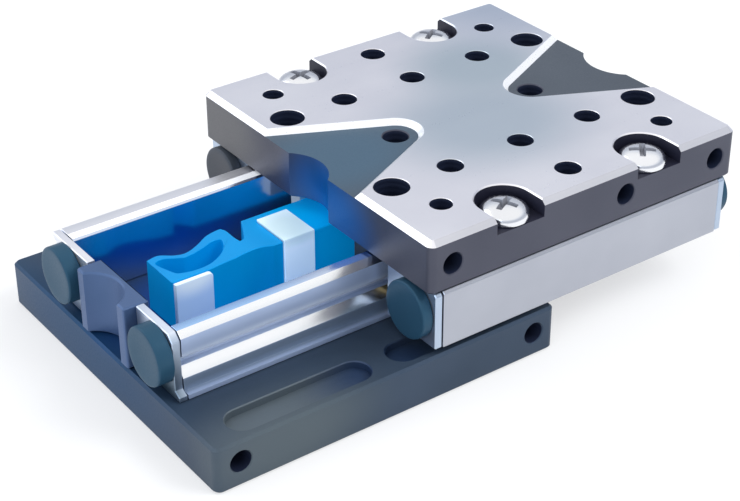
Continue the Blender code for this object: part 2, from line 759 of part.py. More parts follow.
for name, x, y, top in under_screw_places():
    head = UNDER_SCREW_HEAD_DIAMETER / 2
    shank = UNDER_SCREW_SHANK_DIAMETER / 2
    ease = UNDER_SCREW_EASE
    profile = [
        (0.0, 0.0),
        (head - ease, 0.0),
        (head, -ease),
        (head, -UNDER_SCREW_HEAD_HEIGHT),
        (shank, -UNDER_SCREW_HEAD_HEIGHT),
        (shank, -(top - UNDER_SCREW_SINK) + ease),
        (shank - ease, -(top - UNDER_SCREW_SINK)),
        (0.0, -(top - UNDER_SCREW_SINK)),
    ]
    head_face = (x, y, UNDER_SCREW_SINK)
    screw = turned(name, profile, UNDER_STEEL, head_face, (0, 0, -1), steps=HOLE_STEPS)
    socket = rod(
        (x, y, UNDER_SCREW_SINK - OVERCUT),
        (x, y, UNDER_SCREW_SINK + HEX_SOCKET_DEPTH),
        HEX_SOCKET_WIDTH / sqrt(3),
        steps=6,
    )
    cut(screw, place(name + "_socket_cutter", socket))

# Fixed guide rails, the same section on both sides with the left one turned upside down
for side, label in SIDES:
    foot_top = BASE_SEAT + GUIDE_FOOT_HEIGHT
    ease = GUIDE_RAIL_EASE
    if side < 0:
        lower = [(GUIDE_FOOT_Y, BASE_SEAT), (GUIDE_FOOT_Y, foot_top), (GUIDE_LAND_Y, foot_top)]
        upper = [
            (GUIDE_LAND_Y, GUIDE_RAIL_TOP - GUIDE_RAIL_BEVEL),
            (GUIDE_LAND_Y - GUIDE_RAIL_BEVEL, GUIDE_RAIL_TOP),
        ]
    else:
        lip = GUIDE_RAIL_TOP - GUIDE_FOOT_HEIGHT
        lower = [
            (GUIDE_LAND_Y - GUIDE_RAIL_BEVEL, BASE_SEAT),
            (GUIDE_LAND_Y, BASE_SEAT + GUIDE_RAIL_BEVEL),
        ]
        upper = [(GUIDE_LAND_Y, lip), (GUIDE_FOOT_Y, lip), (GUIDE_FOOT_Y, GUIDE_RAIL_TOP)]
    outline = [
        (GUIDE_RAIL_INNER_Y, BASE_SEAT),
        *lower,
        *groove_line(GUIDE_LAND_Y, 1),
        *upper,
        (GUIDE_RAIL_INNER_Y + ease, GUIDE_RAIL_TOP),
        (GUIDE_RAIL_INNER_Y, GUIDE_RAIL_TOP - ease),
    ]
    bm = prism([mirrored(outline, side)], -GUIDE_RAIL_HALF_LENGTH, GUIDE_RAIL_HALF_LENGTH, "X")
    rail = place(f"guide_rail_{label}", bm, RAIL_STEEL)
    y = side * GUIDE_RAIL_MIDDLE_Y
    radius = UNDER_SCREW_SHANK_DIAMETER / 2 + UNDER_SCREW_CLEARANCE
    screw_end = RAIL_SCREW_TOP + UNDER_SCREW_CLEARANCE
    cutters = rod(
        (GUIDE_RAIL_HALF_LENGTH - REAR_SCREW_LENGTH, y, REAR_SCREW_Z),
        (GUIDE_RAIL_HALF_LENGTH + OVERCUT, y, REAR_SCREW_Z),
        REAR_SCREW_SHANK_DIAMETER / 2 + SEAT_GAP,
    )
    for end in (-1, 1):
        x = end * RAIL_SCREW_X
        join(cutters, rod((x, y, BASE_THICKNESS - OVERCUT), (x, y, screw_end), radius))
    cut(rail, place(f"guide_rail_{label}_cutter", cutters))

# End plates of the fixed guide
for end, end_name in ENDS:
    for side, label in SIDES:
        inner = FRONT_PLATE_INNER_Y if end < 0 else REAR_PLATE_INNER_Y
        foot_top = BASE_SEAT + GUIDE_FOOT_HEIGHT
        lip = GUIDE_RAIL_TOP - GUIDE_FOOT_HEIGHT
        if side < 0:
            outside = [
                (GUIDE_FOOT_Y, BASE_SEAT),
                (GUIDE_FOOT_Y, foot_top),
                (GUIDE_LAND_Y, foot_top + END_PLATE_FOOT_SLOPE),
                (GUIDE_LAND_Y, GUIDE_RAIL_TOP - END_PLATE_BEVEL),
                (GUIDE_LAND_Y - END_PLATE_BEVEL, GUIDE_RAIL_TOP),
            ]
        else:
            outside = [
                (GUIDE_LAND_Y - END_PLATE_BEVEL, BASE_SEAT),
                (GUIDE_LAND_Y, BASE_SEAT + END_PLATE_BEVEL),
                (GUIDE_LAND_Y, lip - END_PLATE_FOOT_SLOPE),
                (GUIDE_FOOT_Y, lip),
                (GUIDE_FOOT_Y, GUIDE_RAIL_TOP),
            ]
        outline = [(inner, BASE_SEAT), *outside, (inner, GUIDE_RAIL_TOP)]
        near = GUIDE_RAIL_HALF_LENGTH + SEAT_GAP
        far = near + END_PLATE_THICKNESS
        low, high = (near, far) if end > 0 else (-far, -near)
        bm = prism([mirrored(outline, side)], low, high, "X")
        plate = place(f"guide_end_plate_{end_name}_{label}", bm, PLATE_STEEL)
        if end < 0:
            y, z, radius = BUTTON_Y, BUTTON_Z, BUTTON_STEM_DIAMETER / 2 + SEAT_GAP
        else:
            y, z = GUIDE_RAIL_MIDDLE_Y, REAR_SCREW_Z
            radius = REAR_SCREW_SHANK_DIAMETER / 2 + SEAT_GAP
        cutter = rod((low - OVERCUT, side * y, z), (high + OVERCUT, side * y, z), radius)
        cut(plate, place(f"guide_end_plate_{end_name}_{label}_cutter", cutter))

# Buttons on the front end plates
for side, label in SIDES:
    face = -(GUIDE_RAIL_HALF_LENGTH + 2 * SEAT_GAP + END_PLATE_THICKNESS) - BUTTON_THICKNESS
    r = BUTTON_DIAMETER / 2
    ease = HEAD_EASE
    stem = BUTTON_STEM_DIAMETER / 2
    profile = [
        (0.0, 0.0),
        (r - ease, 0.0),
        (r, -ease),
        (r, -BUTTON_THICKNESS),
        (stem, -BUTTON_THICKNESS),
        (stem, -BUTTON_THICKNESS - BUTTON_STEM_LENGTH),
        (0.0, -BUTTON_THICKNESS - BUTTON_STEM_LENGTH),
    ]
    turned(
        f"guide_end_button_{label}",
        profile,
        DARK_METAL,
        (face, side * BUTTON_Y, BUTTON_Z),
        (-1, 0, 0),
    )

# Screws of the rear end plates
for side, label in SIDES:
    seat = GUIDE_RAIL_HALF_LENGTH + 2 * SEAT_GAP + END_PLATE_THICKNESS
    r = REAR_SCREW_HEAD_DIAMETER / 2
    ease = HEAD_EASE
    shank = REAR_SCREW_SHANK_DIAMETER / 2
    profile = [
        (0.0, 0.0),
        (r - ease, 0.0),
        (r, -ease),
        (r, -REAR_SCREW_HEAD_HEIGHT),
        (shank, -REAR_SCREW_HEAD_HEIGHT),
        (shank, -REAR_SCREW_HEAD_HEIGHT - REAR_SCREW_LENGTH),
        (0.0, -REAR_SCREW_HEAD_HEIGHT - REAR_SCREW_LENGTH),
    ]
    x = seat + REAR_SCREW_HEAD_HEIGHT
    y = side * GUIDE_RAIL_MIDDLE_Y
    screw = turned(
        f"guide_end_screw_{label}",
        profile,
        SCREW_STEEL,
        (x, y, REAR_SCREW_Z),
        (1, 0, 0),
        steps=HOLE_STEPS,
    )
    half = REAR_SCREW_SLOT_WIDTH / 2
    cutter = block(
        (x - REAR_SCREW_SLOT_DEPTH, y - half, REAR_SCREW_Z - r - OVERCUT),
        (x + OVERCUT, y + half, REAR_SCREW_Z + r + OVERCUT),
    )
    cut(screw, place(f"guide_end_screw_{label}_cutter", cutter))

# Cable exit block
centre = HALF_SIDE + CHANNEL_RADIUS - CHANNEL_DEPTH
half = acos((CHANNEL_RADIUS - CHANNEL_DEPTH) / CHANNEL_RADIUS)
ease = BLOCK_EASE
outline = arc((-centre, 0.0), CHANNEL_RADIUS, half, -half, ARC_STEPS)
outline += [
    (-HALF_SIDE, -BLOCK_HALF_WIDTH + ease),
    (-HALF_SIDE + ease, -BLOCK_HALF_WIDTH),
    (-HALF_SIDE + BLOCK_LENGTH, -BLOCK_HALF_WIDTH),
    (-HALF_SIDE + BLOCK_LENGTH, BLOCK_HALF_WIDTH),
    (-HALF_SIDE + ease, BLOCK_HALF_WIDTH),
    (-HALF_SIDE, BLOCK_HALF_WIDTH - ease),
]
bm = prism([outline], BASE_SEAT, BLOCK_TOP)
edge_chamfer(bm, BLOCK_TOP, BLOCK_CHAMFER)
place("cable_exit_block", bm, BLOCK_METAL)


def on_drive(points):
    """Plan points of the drive from fractions of the flexure length and the drive width."""
    return [
        (DRIVE_FRONT_X + u * FLEXURE_LENGTH, DRIVE_NEAR_Y + v * DRIVE_WIDTH) for u, v in points
    ]


# Drive body, with a pocket for the stack that is open below
outline = [(DRIVE_FRONT_X, DRIVE_NEAR_Y + DRIVE_EASE), (DRIVE_FRONT_X + DRIVE_EASE, DRIVE_NEAR_Y)]
outline += smooth_line(on_drive(WAIST_LINE), CURVE_STEPS)
outline += [(DRIVE_REAR_X, DRIVE_NEAR_Y), (DRIVE_REAR_X, DRIVE_FAR_Y)]
outline += smooth_line(on_drive([*STEP_LINE, (ARM_ROOT, FLEXURE_SPLIT)]), CURVE_STEPS)
wall = [(POCKET_REAR, FLEXURE_SPLIT), *POCKET_LINE, (POCKET_FRONT, FLEXURE_SPLIT)]
outline += smooth_line(on_drive(wall), CURVE_STEPS)
outline += on_drive([(0.0, FLEXURE_SPLIT)])
bm = prism([outline], BASE_SEAT, DRIVE_TOP)
drive = place("drive_body", bm, DRIVE_BLUE)

gap = STACK_CLEARANCE
cutters = block(
    (STACK_FRONT_X - gap, STACK_NEAR_Y - gap, BASE_THICKNESS - OVERCUT),
    (STACK_REAR_X + gap, STACK_FAR_Y + gap, STACK_TOP + gap),
)
cut(drive, place("drive_pocket_cutter", cutters))
cutters = rod(
    (TIP_X, STACK_FAR_Y - OVERCUT, TIP_Z),
    (TIP_X, DRIVE_FAR_Y + OVERCUT, TIP_Z),
    TIP_DIAMETER / 2 + TIP_CLEARANCE,
)
cut(drive, place("drive_tip_cutter", cutters))
radius = UNDER_SCREW_SHANK_DIAMETER / 2 + UNDER_SCREW_CLEARANCE
low, high = BASE_THICKNESS - OVERCUT, DRIVE_SCREW_TOP + UNDER_SCREW_CLEARANCE
cutters = bmesh.new()
for y in (DRIVE_SCREW_NEAR_Y, DRIVE_SCREW_FAR_Y):
    join(cutters, rod((DRIVE_SCREW_X, y, low), (DRIVE_SCREW_X, y, high), radius))
cut(drive, place("drive_screw_cutter", cutters))

# Flexure arm that presses the drive onto its runner
split = FLEXURE_SPLIT + SEAT_GAP / DRIVE_WIDTH
outline = smooth_line(on_drive([(ARM_ROOT, split), *ARM_OUTER_LINE]), CURVE_STEPS)
outline += on_drive([(0.0, split)])
wall = [(POCKET_FRONT, split), *ARM_INNER_LINE, (POCKET_REAR, split)]
outline += smooth_line(on_drive(wall), CURVE_STEPS)
bm = prism([outline], BASE_SEAT, DRIVE_TOP)
place("drive_flexure", bm, FLEX_BLUE)

# Light side plate and strap of the drive
high_y = DRIVE_NEAR_Y - SEAT_GAP
low_y = high_y - SIDE_PLATE_THICKNESS
r = SIDE_PLATE_CORNER
low_z, high_z = BASE_SEAT, DRIVE_TOP - SIDE_PLATE_DROP
right = SIDE_PLATE_REAR_X
outline = [(SIDE_PLATE_FRONT_X, low_z)]
outline += arc((right - r, low_z + r), r, -pi / 2, 0, CORNER_STEPS)
outline += arc((right - r, high_z - r), r, 0, pi / 2, CORNER_STEPS)
outline += [(SIDE_PLATE_FRONT_X, high_z)]
bm = prism([outline], low_y, high_y, "Y")
place("drive_side_plate", bm, STRAP_LIGHT)

top = DRIVE_TOP + SEAT_GAP
near = DRIVE_NEAR_Y - SEAT_GAP
outline = [
    (STRAP_FAR_Y, top),
    (STRAP_FAR_Y, top + STRAP_THICKNESS),
    (near - STRAP_THICKNESS + STRAP_EASE, top + STRAP_THICKNESS),
    (near - STRAP_THICKNESS, top + STRAP_THICKNESS - STRAP_EASE),
    (near - STRAP_THICKNESS, BASE_SEAT + STRAP_LIFT),
    (near, BASE_SEAT + STRAP_LIFT),
    (near, top),
]
bm = prism([outline], STRAP_FRONT_X, STRAP_REAR_X, "X")
place("drive_strap", bm, STRAP_LIGHT)

# Piezo stack and friction tip
bm = block(
    (STACK_FRONT_X, STACK_NEAR_Y, BASE_SEAT),
    (STACK_REAR_X, STACK_FAR_Y, STACK_TOP),
)
place("piezo_stack", bm, PIEZO_CERAMIC)

r = TIP_DIAMETER / 2
length = RUNNER_NEAR_Y - SEAT_GAP - (STACK_FAR_Y + SEAT_GAP)
profile = [(0.0, 0.0)]
profile += [(r * sin(a), -r * (1 - cos(a))) for a in (radians(d) for d in (20, 40, 60, 80))]
profile += [(r, -r), (r, -length), (0.0, -length)]
turned(
    "friction_tip",
    profile,
    TIP_CERAMIC,
    (TIP_X, RUNNER_NEAR_Y - SEAT_GAP, TIP_Z),
    (0, 1, 0),
    steps=HOLE_STEPS,
)

# Encoder board and head on the base
board_top = BASE_SEAT + BOARD_THICKNESS
bm = block((BOARD_FRONT_X, BOARD_NEAR_Y, BASE_SEAT), (BOARD_REAR_X, BOARD_FAR_Y, board_top))
place("encoder_board", bm, BOARD_GREEN)
bm = block(
    (HEAD_FRONT_X, HEAD_NEAR_Y, board_top + SEAT_GAP),
    (HEAD_REAR_X, HEAD_FAR_Y, HEAD_TOP),
)
edge_chamfer(bm, HEAD_TOP, HEAD_CHAMFER)
place("encoder_head", bm, HEAD_PLASTIC)

# Top plate
bm = prism([plate_outline(True)], PLATE_UNDERSIDE, HEIGHT)
edge_chamfer(bm, HEIGHT, EDGE_CHAMFER)
edge_chamfer(bm, PLATE_UNDERSIDE, UNDERSIDE_CHAMFER)
bmesh.ops.translate(bm, vec=(CARRIAGE_OFFSET, 0.0, 0.0), verts=bm.verts)
top_plate = place("top_plate", bm, TOP_METAL, CARRIAGE.location.copy(), CARRIAGE)

cut(top_plate, place("recess_cutter_rear", recess_cutter(1)))
cut(top_plate, place("recess_cutter_front", recess_cutter(-1)))

cutters = bmesh.new()
for side in (1, -1):
    for end in (1, -1):
        x = CARRIAGE_OFFSET + end * SCREW_X
        y = side * SCREW_Y
        r = SCREW_POCKET_RADIUS
        outside = y + side * SCREW_POCKET_REACH
        if side > 0:
            outline = [(x + r, outside), (x - r, outside)] + arc((x, y), r, pi, 2 * pi, ARC_STEPS)
        else:
            outline = [(x - r, outside), (x + r, outside)] + arc((x, y), r, 0, pi, ARC_STEPS)
        join(cutters, prism([outline], SCREW_FLOOR, HEIGHT + OVERCUT))
cut(top_plate, place("screw_pocket_cutter", cutters))

cutters = bmesh.new()
for side in (1, -1):
    for end in (1, -1):
        x = CARRIAGE_OFFSET + end * SCREW_X
        y = side * SCREW_Y
        radius = SCREW_SHANK_DIAMETER / 2 + SCREW_HOLE_CLEARANCE
        join(
            cutters,
            rod((x, y, PLATE_UNDERSIDE - OVERCUT), (x, y, SCREW_FLOOR + OVERCUT), radius),
        )
cut(top_plate, place("screw_hole_cutter", cutters))


def top_holes():
    """Plan position, diameter and mouth height of every hole in the top face."""
    small = HALF_SIDE - SMALL_HOLE_EDGE
    large_x = HALF_SIDE - LARGE_HOLE_END
    large_y = HALF_SIDE - LARGE_HOLE_EDGE
    medium = HALF_SIDE - MEDIUM_HOLE_EDGE
    outer = HALF_SIDE - CENTRE_ROW_EDGE
    holes = []
    for side in (1, -1):
        for end in (1, -1):
            holes.append((end * small, side * small, SMALL_HOLE_DIAMETER, HEIGHT))
            holes.append((end * large_x, side * large_y, LARGE_HOLE_DIAMETER, HEIGHT))
            holes.append((end * medium, side * medium, MEDIUM_HOLE_DIAMETER, HEIGHT))
        holes.append((0.0, side * medium, MEDIUM_HOLE_DIAMETER, HEIGHT))
        holes.append((0.0, side * outer, MEDIUM_HOLE_DIAMETER, HEIGHT))
        holes.append((side * RECESS_HOLE_X, 0.0, MEDIUM_HOLE_DIAMETER, HEIGHT - RECESS_DEPTH))
    return holes


cutters = bmesh.new()
for x, y, diameter, mouth in top_holes():
    depth = TOP_HOLE_DEPTH - (HEIGHT - mouth)
    join(cutters, hole((CARRIAGE_OFFSET + x, y, mouth), (0, 0, -1), diameter, depth))
row_end = HALF_SIDE - TOP_SIDE_HOLE_END
for side in (1, -1):
    for x in (-row_end, TOP_SIDE_HOLE_MIDDLE, row_end):
        mouth = (CARRIAGE_OFFSET + x, side * HALF_SIDE, HEIGHT - TOP_SIDE_HOLE_DROP)
        join(cutters, hole(mouth, (0, -side, 0), SIDE_HOLE_DIAMETER, SIDE_HOLE_DEPTH))
cut(top_plate, place("top_hole_cutter", cutters))

gap = SCALE_CLEARANCE
half = SCALE_WIDTH / 2
scale_top = PLATE_UNDERSIDE + SCALE_THICKNESS
cutters = block(
    (CARRIAGE_OFFSET + SCALE_FRONT - gap, SCALE_Y - half - gap, PLATE_UNDERSIDE - OVERCUT),
    (CARRIAGE_OFFSET + SCALE_REAR + gap, SCALE_Y + half + gap, scale_top + gap),
)
cut(top_plate, place("scale_groove_cutter", cutters))

# Scale and runner bar under the top plate
bm = block(
    (CARRIAGE_OFFSET + SCALE_FRONT, SCALE_Y - half, PLATE_UNDERSIDE),
    (CARRIAGE_OFFSET + SCALE_REAR, SCALE_Y + half, scale_top),
)
place("encoder_scale", bm, SCALE_GLASS, (CARRIAGE_OFFSET, SCALE_Y, scale_top), CARRIAGE)

bm = block(
    (CARRIAGE_OFFSET + RUNNER_FRONT, RUNNER_NEAR_Y, RUNNER_BOTTOM),
    (CARRIAGE_OFFSET + RUNNER_REAR, RUNNER_NEAR_Y + RUNNER_WIDTH, PLATE_SEAT),
)
place("runner_bar", bm, RUNNER_CERAMIC, (CARRIAGE_OFFSET, RUNNER_NEAR_Y, TIP_Z), CARRIAGE)

# Pan-head screws of the top plate
for side, label in SIDES:
    for end, end_name in ENDS:
        x = CARRIAGE_OFFSET + end * SCREW_X
        y = side * SCREW_Y
        z = HEIGHT - SCREW_HEAD_SINK
        r = SCREW_HEAD_DIAMETER / 2
        shank = SCREW_SHANK_DIAMETER / 2
        h = SCREW_HEAD_HEIGHT
        profile = [(0.0, 0.0)]
        profile += [(out * r, -drop * h) for out, drop in PAN_PROFILE]
        profile += [
            (r, -h),
            (shank, -h),
            (shank, -h - SCREW_LENGTH + SCREW_TIP),
            (shank - SCREW_TIP, -h - SCREW_LENGTH),
            (0.0, -h - SCREW_LENGTH),
        ]
        name = f"top_screw_{label}_{end_name}"
        screw = turned(name, profile, SCREW_STEEL, (x, y, z), (0, 0, 1), CARRIAGE)
        low, high = z - CROSS_DEPTH, z + OVERCUT
        a, b = CROSS_LENGTH / 2, CROSS_WIDTH / 2
        turn = radians(SCREW_CROSS_TURN[(side, end)])
        cross = []
        for quarter in range(4):
            along = turn + quarter * pi / 2
            u = (cos(along), sin(along))
            for forward, across in ((b, -b), (a, -b), (a, b)):
                cross.append(
                    (
                        x + forward * u[0] - across * u[1],
                        y + forward * u[1] + across * u[0],
                    )
                )
        cut(screw, place(name + "_cross_cutter", prism([cross], low, high)))

# Moving guide rails
for side, label in SIDES:
    outline = [
        (CARRIAGE_LAND_Y, CARRIAGE_RAIL_BOTTOM),
        *groove_line(CARRIAGE_LAND_Y, -1),
        (CARRIAGE_LAND_Y, PLATE_SEAT),
        (HALF_SIDE - CARRIAGE_RAIL_BEVEL, PLATE_SEAT),
        (HALF_SIDE, PLATE_SEAT - CARRIAGE_RAIL_BEVEL),
        (HALF_SIDE, CARRIAGE_RAIL_BOTTOM + CARRIAGE_RAIL_EASE),
        (HALF_SIDE - CARRIAGE_RAIL_EASE, CARRIAGE_RAIL_BOTTOM),
    ]
    low = CARRIAGE_OFFSET - CARRIAGE_RAIL_HALF_LENGTH
    high = CARRIAGE_OFFSET + CARRIAGE_RAIL_HALF_LENGTH
    bm = prism([mirrored(outline, side)], low, high, "X")
    origin = (CARRIAGE_OFFSET, side * GUIDE_AXIS_Y, GUIDE_AXIS_Z)
    rail = place(f"carriage_rail_{label}", bm, OUTER_STEEL, origin, CARRIAGE)
    radius = SCREW_SHANK_DIAMETER / 2 + SCREW_HOLE_CLEARANCE
    bottom = HEIGHT - SCREW_HEAD_SINK - SCREW_HEAD_HEIGHT - SCREW_LENGTH - SCREW_TIP
    y = side * SCREW_Y
    cutters = bmesh.new()
    for end in (-1, 1):
        x = CARRIAGE_OFFSET + end * SCREW_X
        join(cutters, rod((x, y, bottom), (x, y, PLATE_SEAT + OVERCUT), radius))
    cut(rail, place(f"carriage_rail_{label}_screw_cutter", cutters))
    radius = DISC_SHANK_DIAMETER / 2 + SCREW_HOLE_CLEARANCE
    reach = DISC_SHANK_LENGTH - CARRIAGE_PLATE_THICKNESS
    y = side * DISC_Y
    cutters = bmesh.new()
    for end in (-1, 1):
        mouth = CARRIAGE_OFFSET + end * (CARRIAGE_RAIL_HALF_LENGTH + OVERCUT)
        inside = CARRIAGE_OFFSET + end * (CARRIAGE_RAIL_HALF_LENGTH - reach)
        join(cutters, rod((mouth, y, DISC_Z), (inside, y, DISC_Z), radius))
    cut(rail, place(f"carriage_rail_{label}_end_cutter", cutters))

# End plates and round end screws of the moving rails
for side, label in SIDES:
    for end, end_name in ENDS:
        inset = CARRIAGE_PLATE_INSET
        top = PLATE_SEAT - inset
        low_z = CARRIAGE_RAIL_BOTTOM + inset
        outline = [
            (CARRIAGE_LAND_Y + inset, low_z),
            (HALF_SIDE - inset, low_z),
            (HALF_SIDE - inset, top - CARRIAGE_RAIL_BEVEL),
            (HALF_SIDE - inset - CARRIAGE_RAIL_BEVEL, top),
            (CARRIAGE_LAND_Y + inset, top),
        ]
        near = CARRIAGE_RAIL_HALF_LENGTH + SEAT_GAP
        far = near + CARRIAGE_PLATE_THICKNESS
        ends_x = sorted((CARRIAGE_OFFSET + end * near, CARRIAGE_OFFSET + end * far))
        bm = prism([mirrored(outline, side)], ends_x[0], ends_x[1], "X")
        origin = (CARRIAGE_OFFSET + end * near, side * DISC_Y, DISC_Z)
        name = f"carriage_end_plate_{end_name}_{label}"
        plate = place(name, bm, PLATE_STEEL, origin, CARRIAGE)
        cutter = rod(
            (ends_x[0] - OVERCUT, side * DISC_Y, DISC_Z),
            (ends_x[1] + OVERCUT, side * DISC_Y, DISC_Z),
            DISC_SHANK_DIAMETER / 2 + SCREW_HOLE_CLEARANCE,
        )
        cut(plate, place(name + "_cutter", cutter))
        r = DISC_DIAMETER / 2
        ease = HEAD_EASE
        shank = DISC_SHANK_DIAMETER / 2
        profile = [
            (0.0, 0.0),
            (r - ease, 0.0),
            (r, -ease),
            (r, -DISC_THICKNESS),
            (shank, -DISC_THICKNESS),
            (shank, -DISC_THICKNESS - DISC_SHANK_LENGTH + SEAT_GAP),
            (0.0, -DISC_THICKNESS - DISC_SHANK_LENGTH + SEAT_GAP),
        ]
        face = CARRIAGE_OFFSET + end * (far + SEAT_GAP + DISC_THICKNESS)
        turned(
            f"carriage_end_screw_{end_name}_{label}",
            profile,
            DARK_METAL,
            (face, side * DISC_Y, DISC_Z),
            (end, 0, 0),
            CARRIAGE,
        )

# Roller cages, which travel half as far as the carriage
for side, label in SIDES:
    middle = CARRIAGE_OFFSET * CAGE_RATIO
    half = CAGE_LENGTH / 2
    low_z, high_z = GUIDE_AXIS_Z - CAGE_HEIGHT / 2, GUIDE_AXIS_Z + CAGE_HEIGHT / 2
    ease = CAGE_CORNER
    outer = [
        (middle - half + ease, low_z), (middle + half - ease, low_z),
        (middle + half, low_z + ease), (middle + half, high_z - ease),
        (middle + half - ease, high_z), (middle - half + ease, high_z),
        (middle - half, high_z - ease), (middle - half, low_z + ease),
    ]
    loops = [outer]
    centres = [
        middle + (i - (ROLLER_COUNT - 1) / 2) * ROLLER_PITCH for i in range(ROLLER_COUNT)
    ]
    for x in centres:
        w, h = CAGE_WINDOW_LENGTH / 2, CAGE_WINDOW_HEIGHT / 2
        z = GUIDE_AXIS_Z
        loops.append([(x - w, z - h), (x - w, z + h), (x + w, z + h), (x + w, z - h)])
    y_low = side * GUIDE_AXIS_Y - CAGE_THICKNESS / 2
    bm = prism(loops, y_low, y_low + CAGE_THICKNESS, "Y")
    origin = CAGES[side].location.copy()
    place(f"roller_cage_{label}", bm, CAGE_BRASS, origin, CAGES[side])
    for i, x in enumerate(centres):
        lean = 1 if i % 2 == 0 else -1
        along = Vector((0.0, 1.0, lean)).normalized() * ROLLER_LENGTH / 2
        centre = Vector((x, side * GUIDE_AXIS_Y, GUIDE_AXIS_Z))
        bm = rod(centre - along, centre + along, ROLLER_DIAMETER / 2)
        place(f"roller_{label}_{i + 1}", bm, ROLLER_STEEL, centre, CAGES[side])
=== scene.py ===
"""Dressed view of a miniature linear translation stage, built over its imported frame.

Shapes are written in millimetres and turned into metres when a mesh is made.
"""

import bpy
import numpy as np
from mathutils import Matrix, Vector


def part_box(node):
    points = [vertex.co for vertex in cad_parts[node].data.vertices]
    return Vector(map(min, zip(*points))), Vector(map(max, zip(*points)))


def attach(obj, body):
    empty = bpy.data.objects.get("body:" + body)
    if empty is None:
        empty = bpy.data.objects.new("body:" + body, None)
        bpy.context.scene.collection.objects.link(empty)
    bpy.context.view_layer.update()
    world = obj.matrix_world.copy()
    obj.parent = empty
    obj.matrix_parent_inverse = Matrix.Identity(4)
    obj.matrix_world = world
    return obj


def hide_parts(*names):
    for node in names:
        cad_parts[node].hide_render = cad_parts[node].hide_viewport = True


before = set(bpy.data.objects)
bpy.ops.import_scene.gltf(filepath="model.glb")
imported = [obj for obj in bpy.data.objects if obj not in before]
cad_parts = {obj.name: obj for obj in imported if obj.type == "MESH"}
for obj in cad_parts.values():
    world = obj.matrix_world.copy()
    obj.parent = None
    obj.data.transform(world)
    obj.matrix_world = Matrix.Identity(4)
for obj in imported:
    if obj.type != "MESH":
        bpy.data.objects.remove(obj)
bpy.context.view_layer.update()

MM = 0.001
pi = np.pi

# Studio
# A pale floor under the stage and a wide soft sky. The camera stands on the near left
# and looks down on the open end, and a small blue lamp lights the drive.

CAMERA_AT = np.array([-45.360, -71.177, 56.491]) * MM
CAMERA_TOWARDS = Vector((0.513755, 0.697350, -0.499758))
LENS = 86.462
SENSOR = 36.0
SHIFT = (-0.01287, -0.06413)
FLOOR_SIDE = 2.4
FLOOR_COLOUR = (0.86, 0.87, 0.89, 1.0)
FLOOR_GLOW = 0.56
SKY_BANDS = (
    (0.00, (0.78, 0.80, 0.85)),
    (0.16, (0.58, 0.61, 0.68)),
    (0.42, (0.52, 0.56, 0.65)),
    (0.60, (0.88, 0.91, 0.96)),
    (0.70, (1.06, 1.06, 1.06)),
)
SKY_STRENGTH = 0.98
LAMPS = {
    "key": ((0.28, -0.27, 0.38), (0.006, 0, 0), 0.30, 1.9, (1.0, 0.99, 0.97)),
    "back": ((-0.28, 0.39, 0.29), (0.006, 0, 0), 0.46, 0.8, (0.95, 0.97, 1.0)),
    "front": ((-0.42, -0.10, 0.17), (-0.004, 0, 0), 0.40, 0.7, (0.78, 0.88, 1.0)),
    "inner": (
        (0.0052, 0.0034, 0.0065), (0.002, 0.0034, 0.003), 0.003, 4e-5, (0.02, 0.32, 1.0)
    ),
}

camera_data = bpy.data.cameras.new("camera")
camera_data.lens = LENS
camera_data.sensor_width = SENSOR
camera_data.shift_x, camera_data.shift_y = SHIFT
camera_data.clip_start = 0.005
camera_data.clip_end = 20.0
camera = bpy.data.objects.new("camera", camera_data)
camera.location = CAMERA_AT
camera.rotation_euler = CAMERA_TOWARDS.to_track_quat("-Z", "Y").to_euler()
bpy.context.scene.collection.objects.link(camera)
bpy.context.scene.camera = camera
bpy.context.scene.view_settings.view_transform = "Standard"


def soft_lamp(name, at, towards, side, watts, colour):
    """A square area lamp that faces a point."""
    data = bpy.data.lights.new(name, "AREA")
    data.shape = "SQUARE"
    data.size = side
    data.energy = watts
    data.color = colour
    lamp = bpy.data.objects.new(name, data)
    lamp.location = at
    aim = Vector(towards) - Vector(at)
    lamp.rotation_euler = aim.to_track_quat("-Z", "Y").to_euler()
    bpy.context.scene.collection.objects.link(lamp)
    return lamp


for name, settings in LAMPS.items():
    lamp = soft_lamp(name, *settings)
    lamp.visible_glossy = name != "key"

world = bpy.data.worlds.new("studio")
world.use_nodes = True
bpy.context.scene.world = world
nodes, links = world.node_tree.nodes, world.node_tree.links
coordinates = nodes.new("ShaderNodeTexCoord")
split = nodes.new("ShaderNodeSeparateXYZ")
ramp = nodes.new("ShaderNodeValToRGB")
links.new(coordinates.outputs["Generated"], split.inputs[0])
links.new(split.outputs["Z"], ramp.inputs[0])
while len(ramp.color_ramp.elements) < len(SKY_BANDS):
    ramp.color_ramp.elements.new(0.5)
for element, (place, colour) in zip(ramp.color_ramp.elements, SKY_BANDS):
    element.position = place
    element.color = (*colour, 1.0)
links.new(ramp.outputs[0], nodes["Background"].inputs["Color"])
nodes["Background"].inputs["Strength"].default_value = SKY_STRENGTH

floor_mesh = bpy.data.meshes.new("floor")
half = FLOOR_SIDE / 2
floor_mesh.from_pydata(
    [(-half, -half, 0), (half, -half, 0), (half, half, 0), (-half, half, 0)], [], [(0, 1, 2, 3)]
)
floor = bpy.data.objects.new("floor", floor_mesh)
bpy.context.scene.collection.objects.link(floor)
paper = bpy.data.materials.new("floor_paper")
paper.use_nodes = True
nodes, links = paper.node_tree.nodes, paper.node_tree.links
shader = nodes["Principled BSDF"]
shader.inputs["Base Color"].default_value = FLOOR_COLOUR
shader.inputs["Roughness"].default_value = 0.8
shader.inputs["Specular IOR Level"].default_value = 0.2
glow = nodes.new("ShaderNodeEmission")
glow.inputs["Strength"].default_value = 1.0
path = nodes.new("ShaderNodeLightPath")
seen = nodes.new("ShaderNodeMath")
seen.operation = "MULTIPLY"
seen.inputs[1].default_value = FLOOR_GLOW
mix = nodes.new("ShaderNodeMixShader")
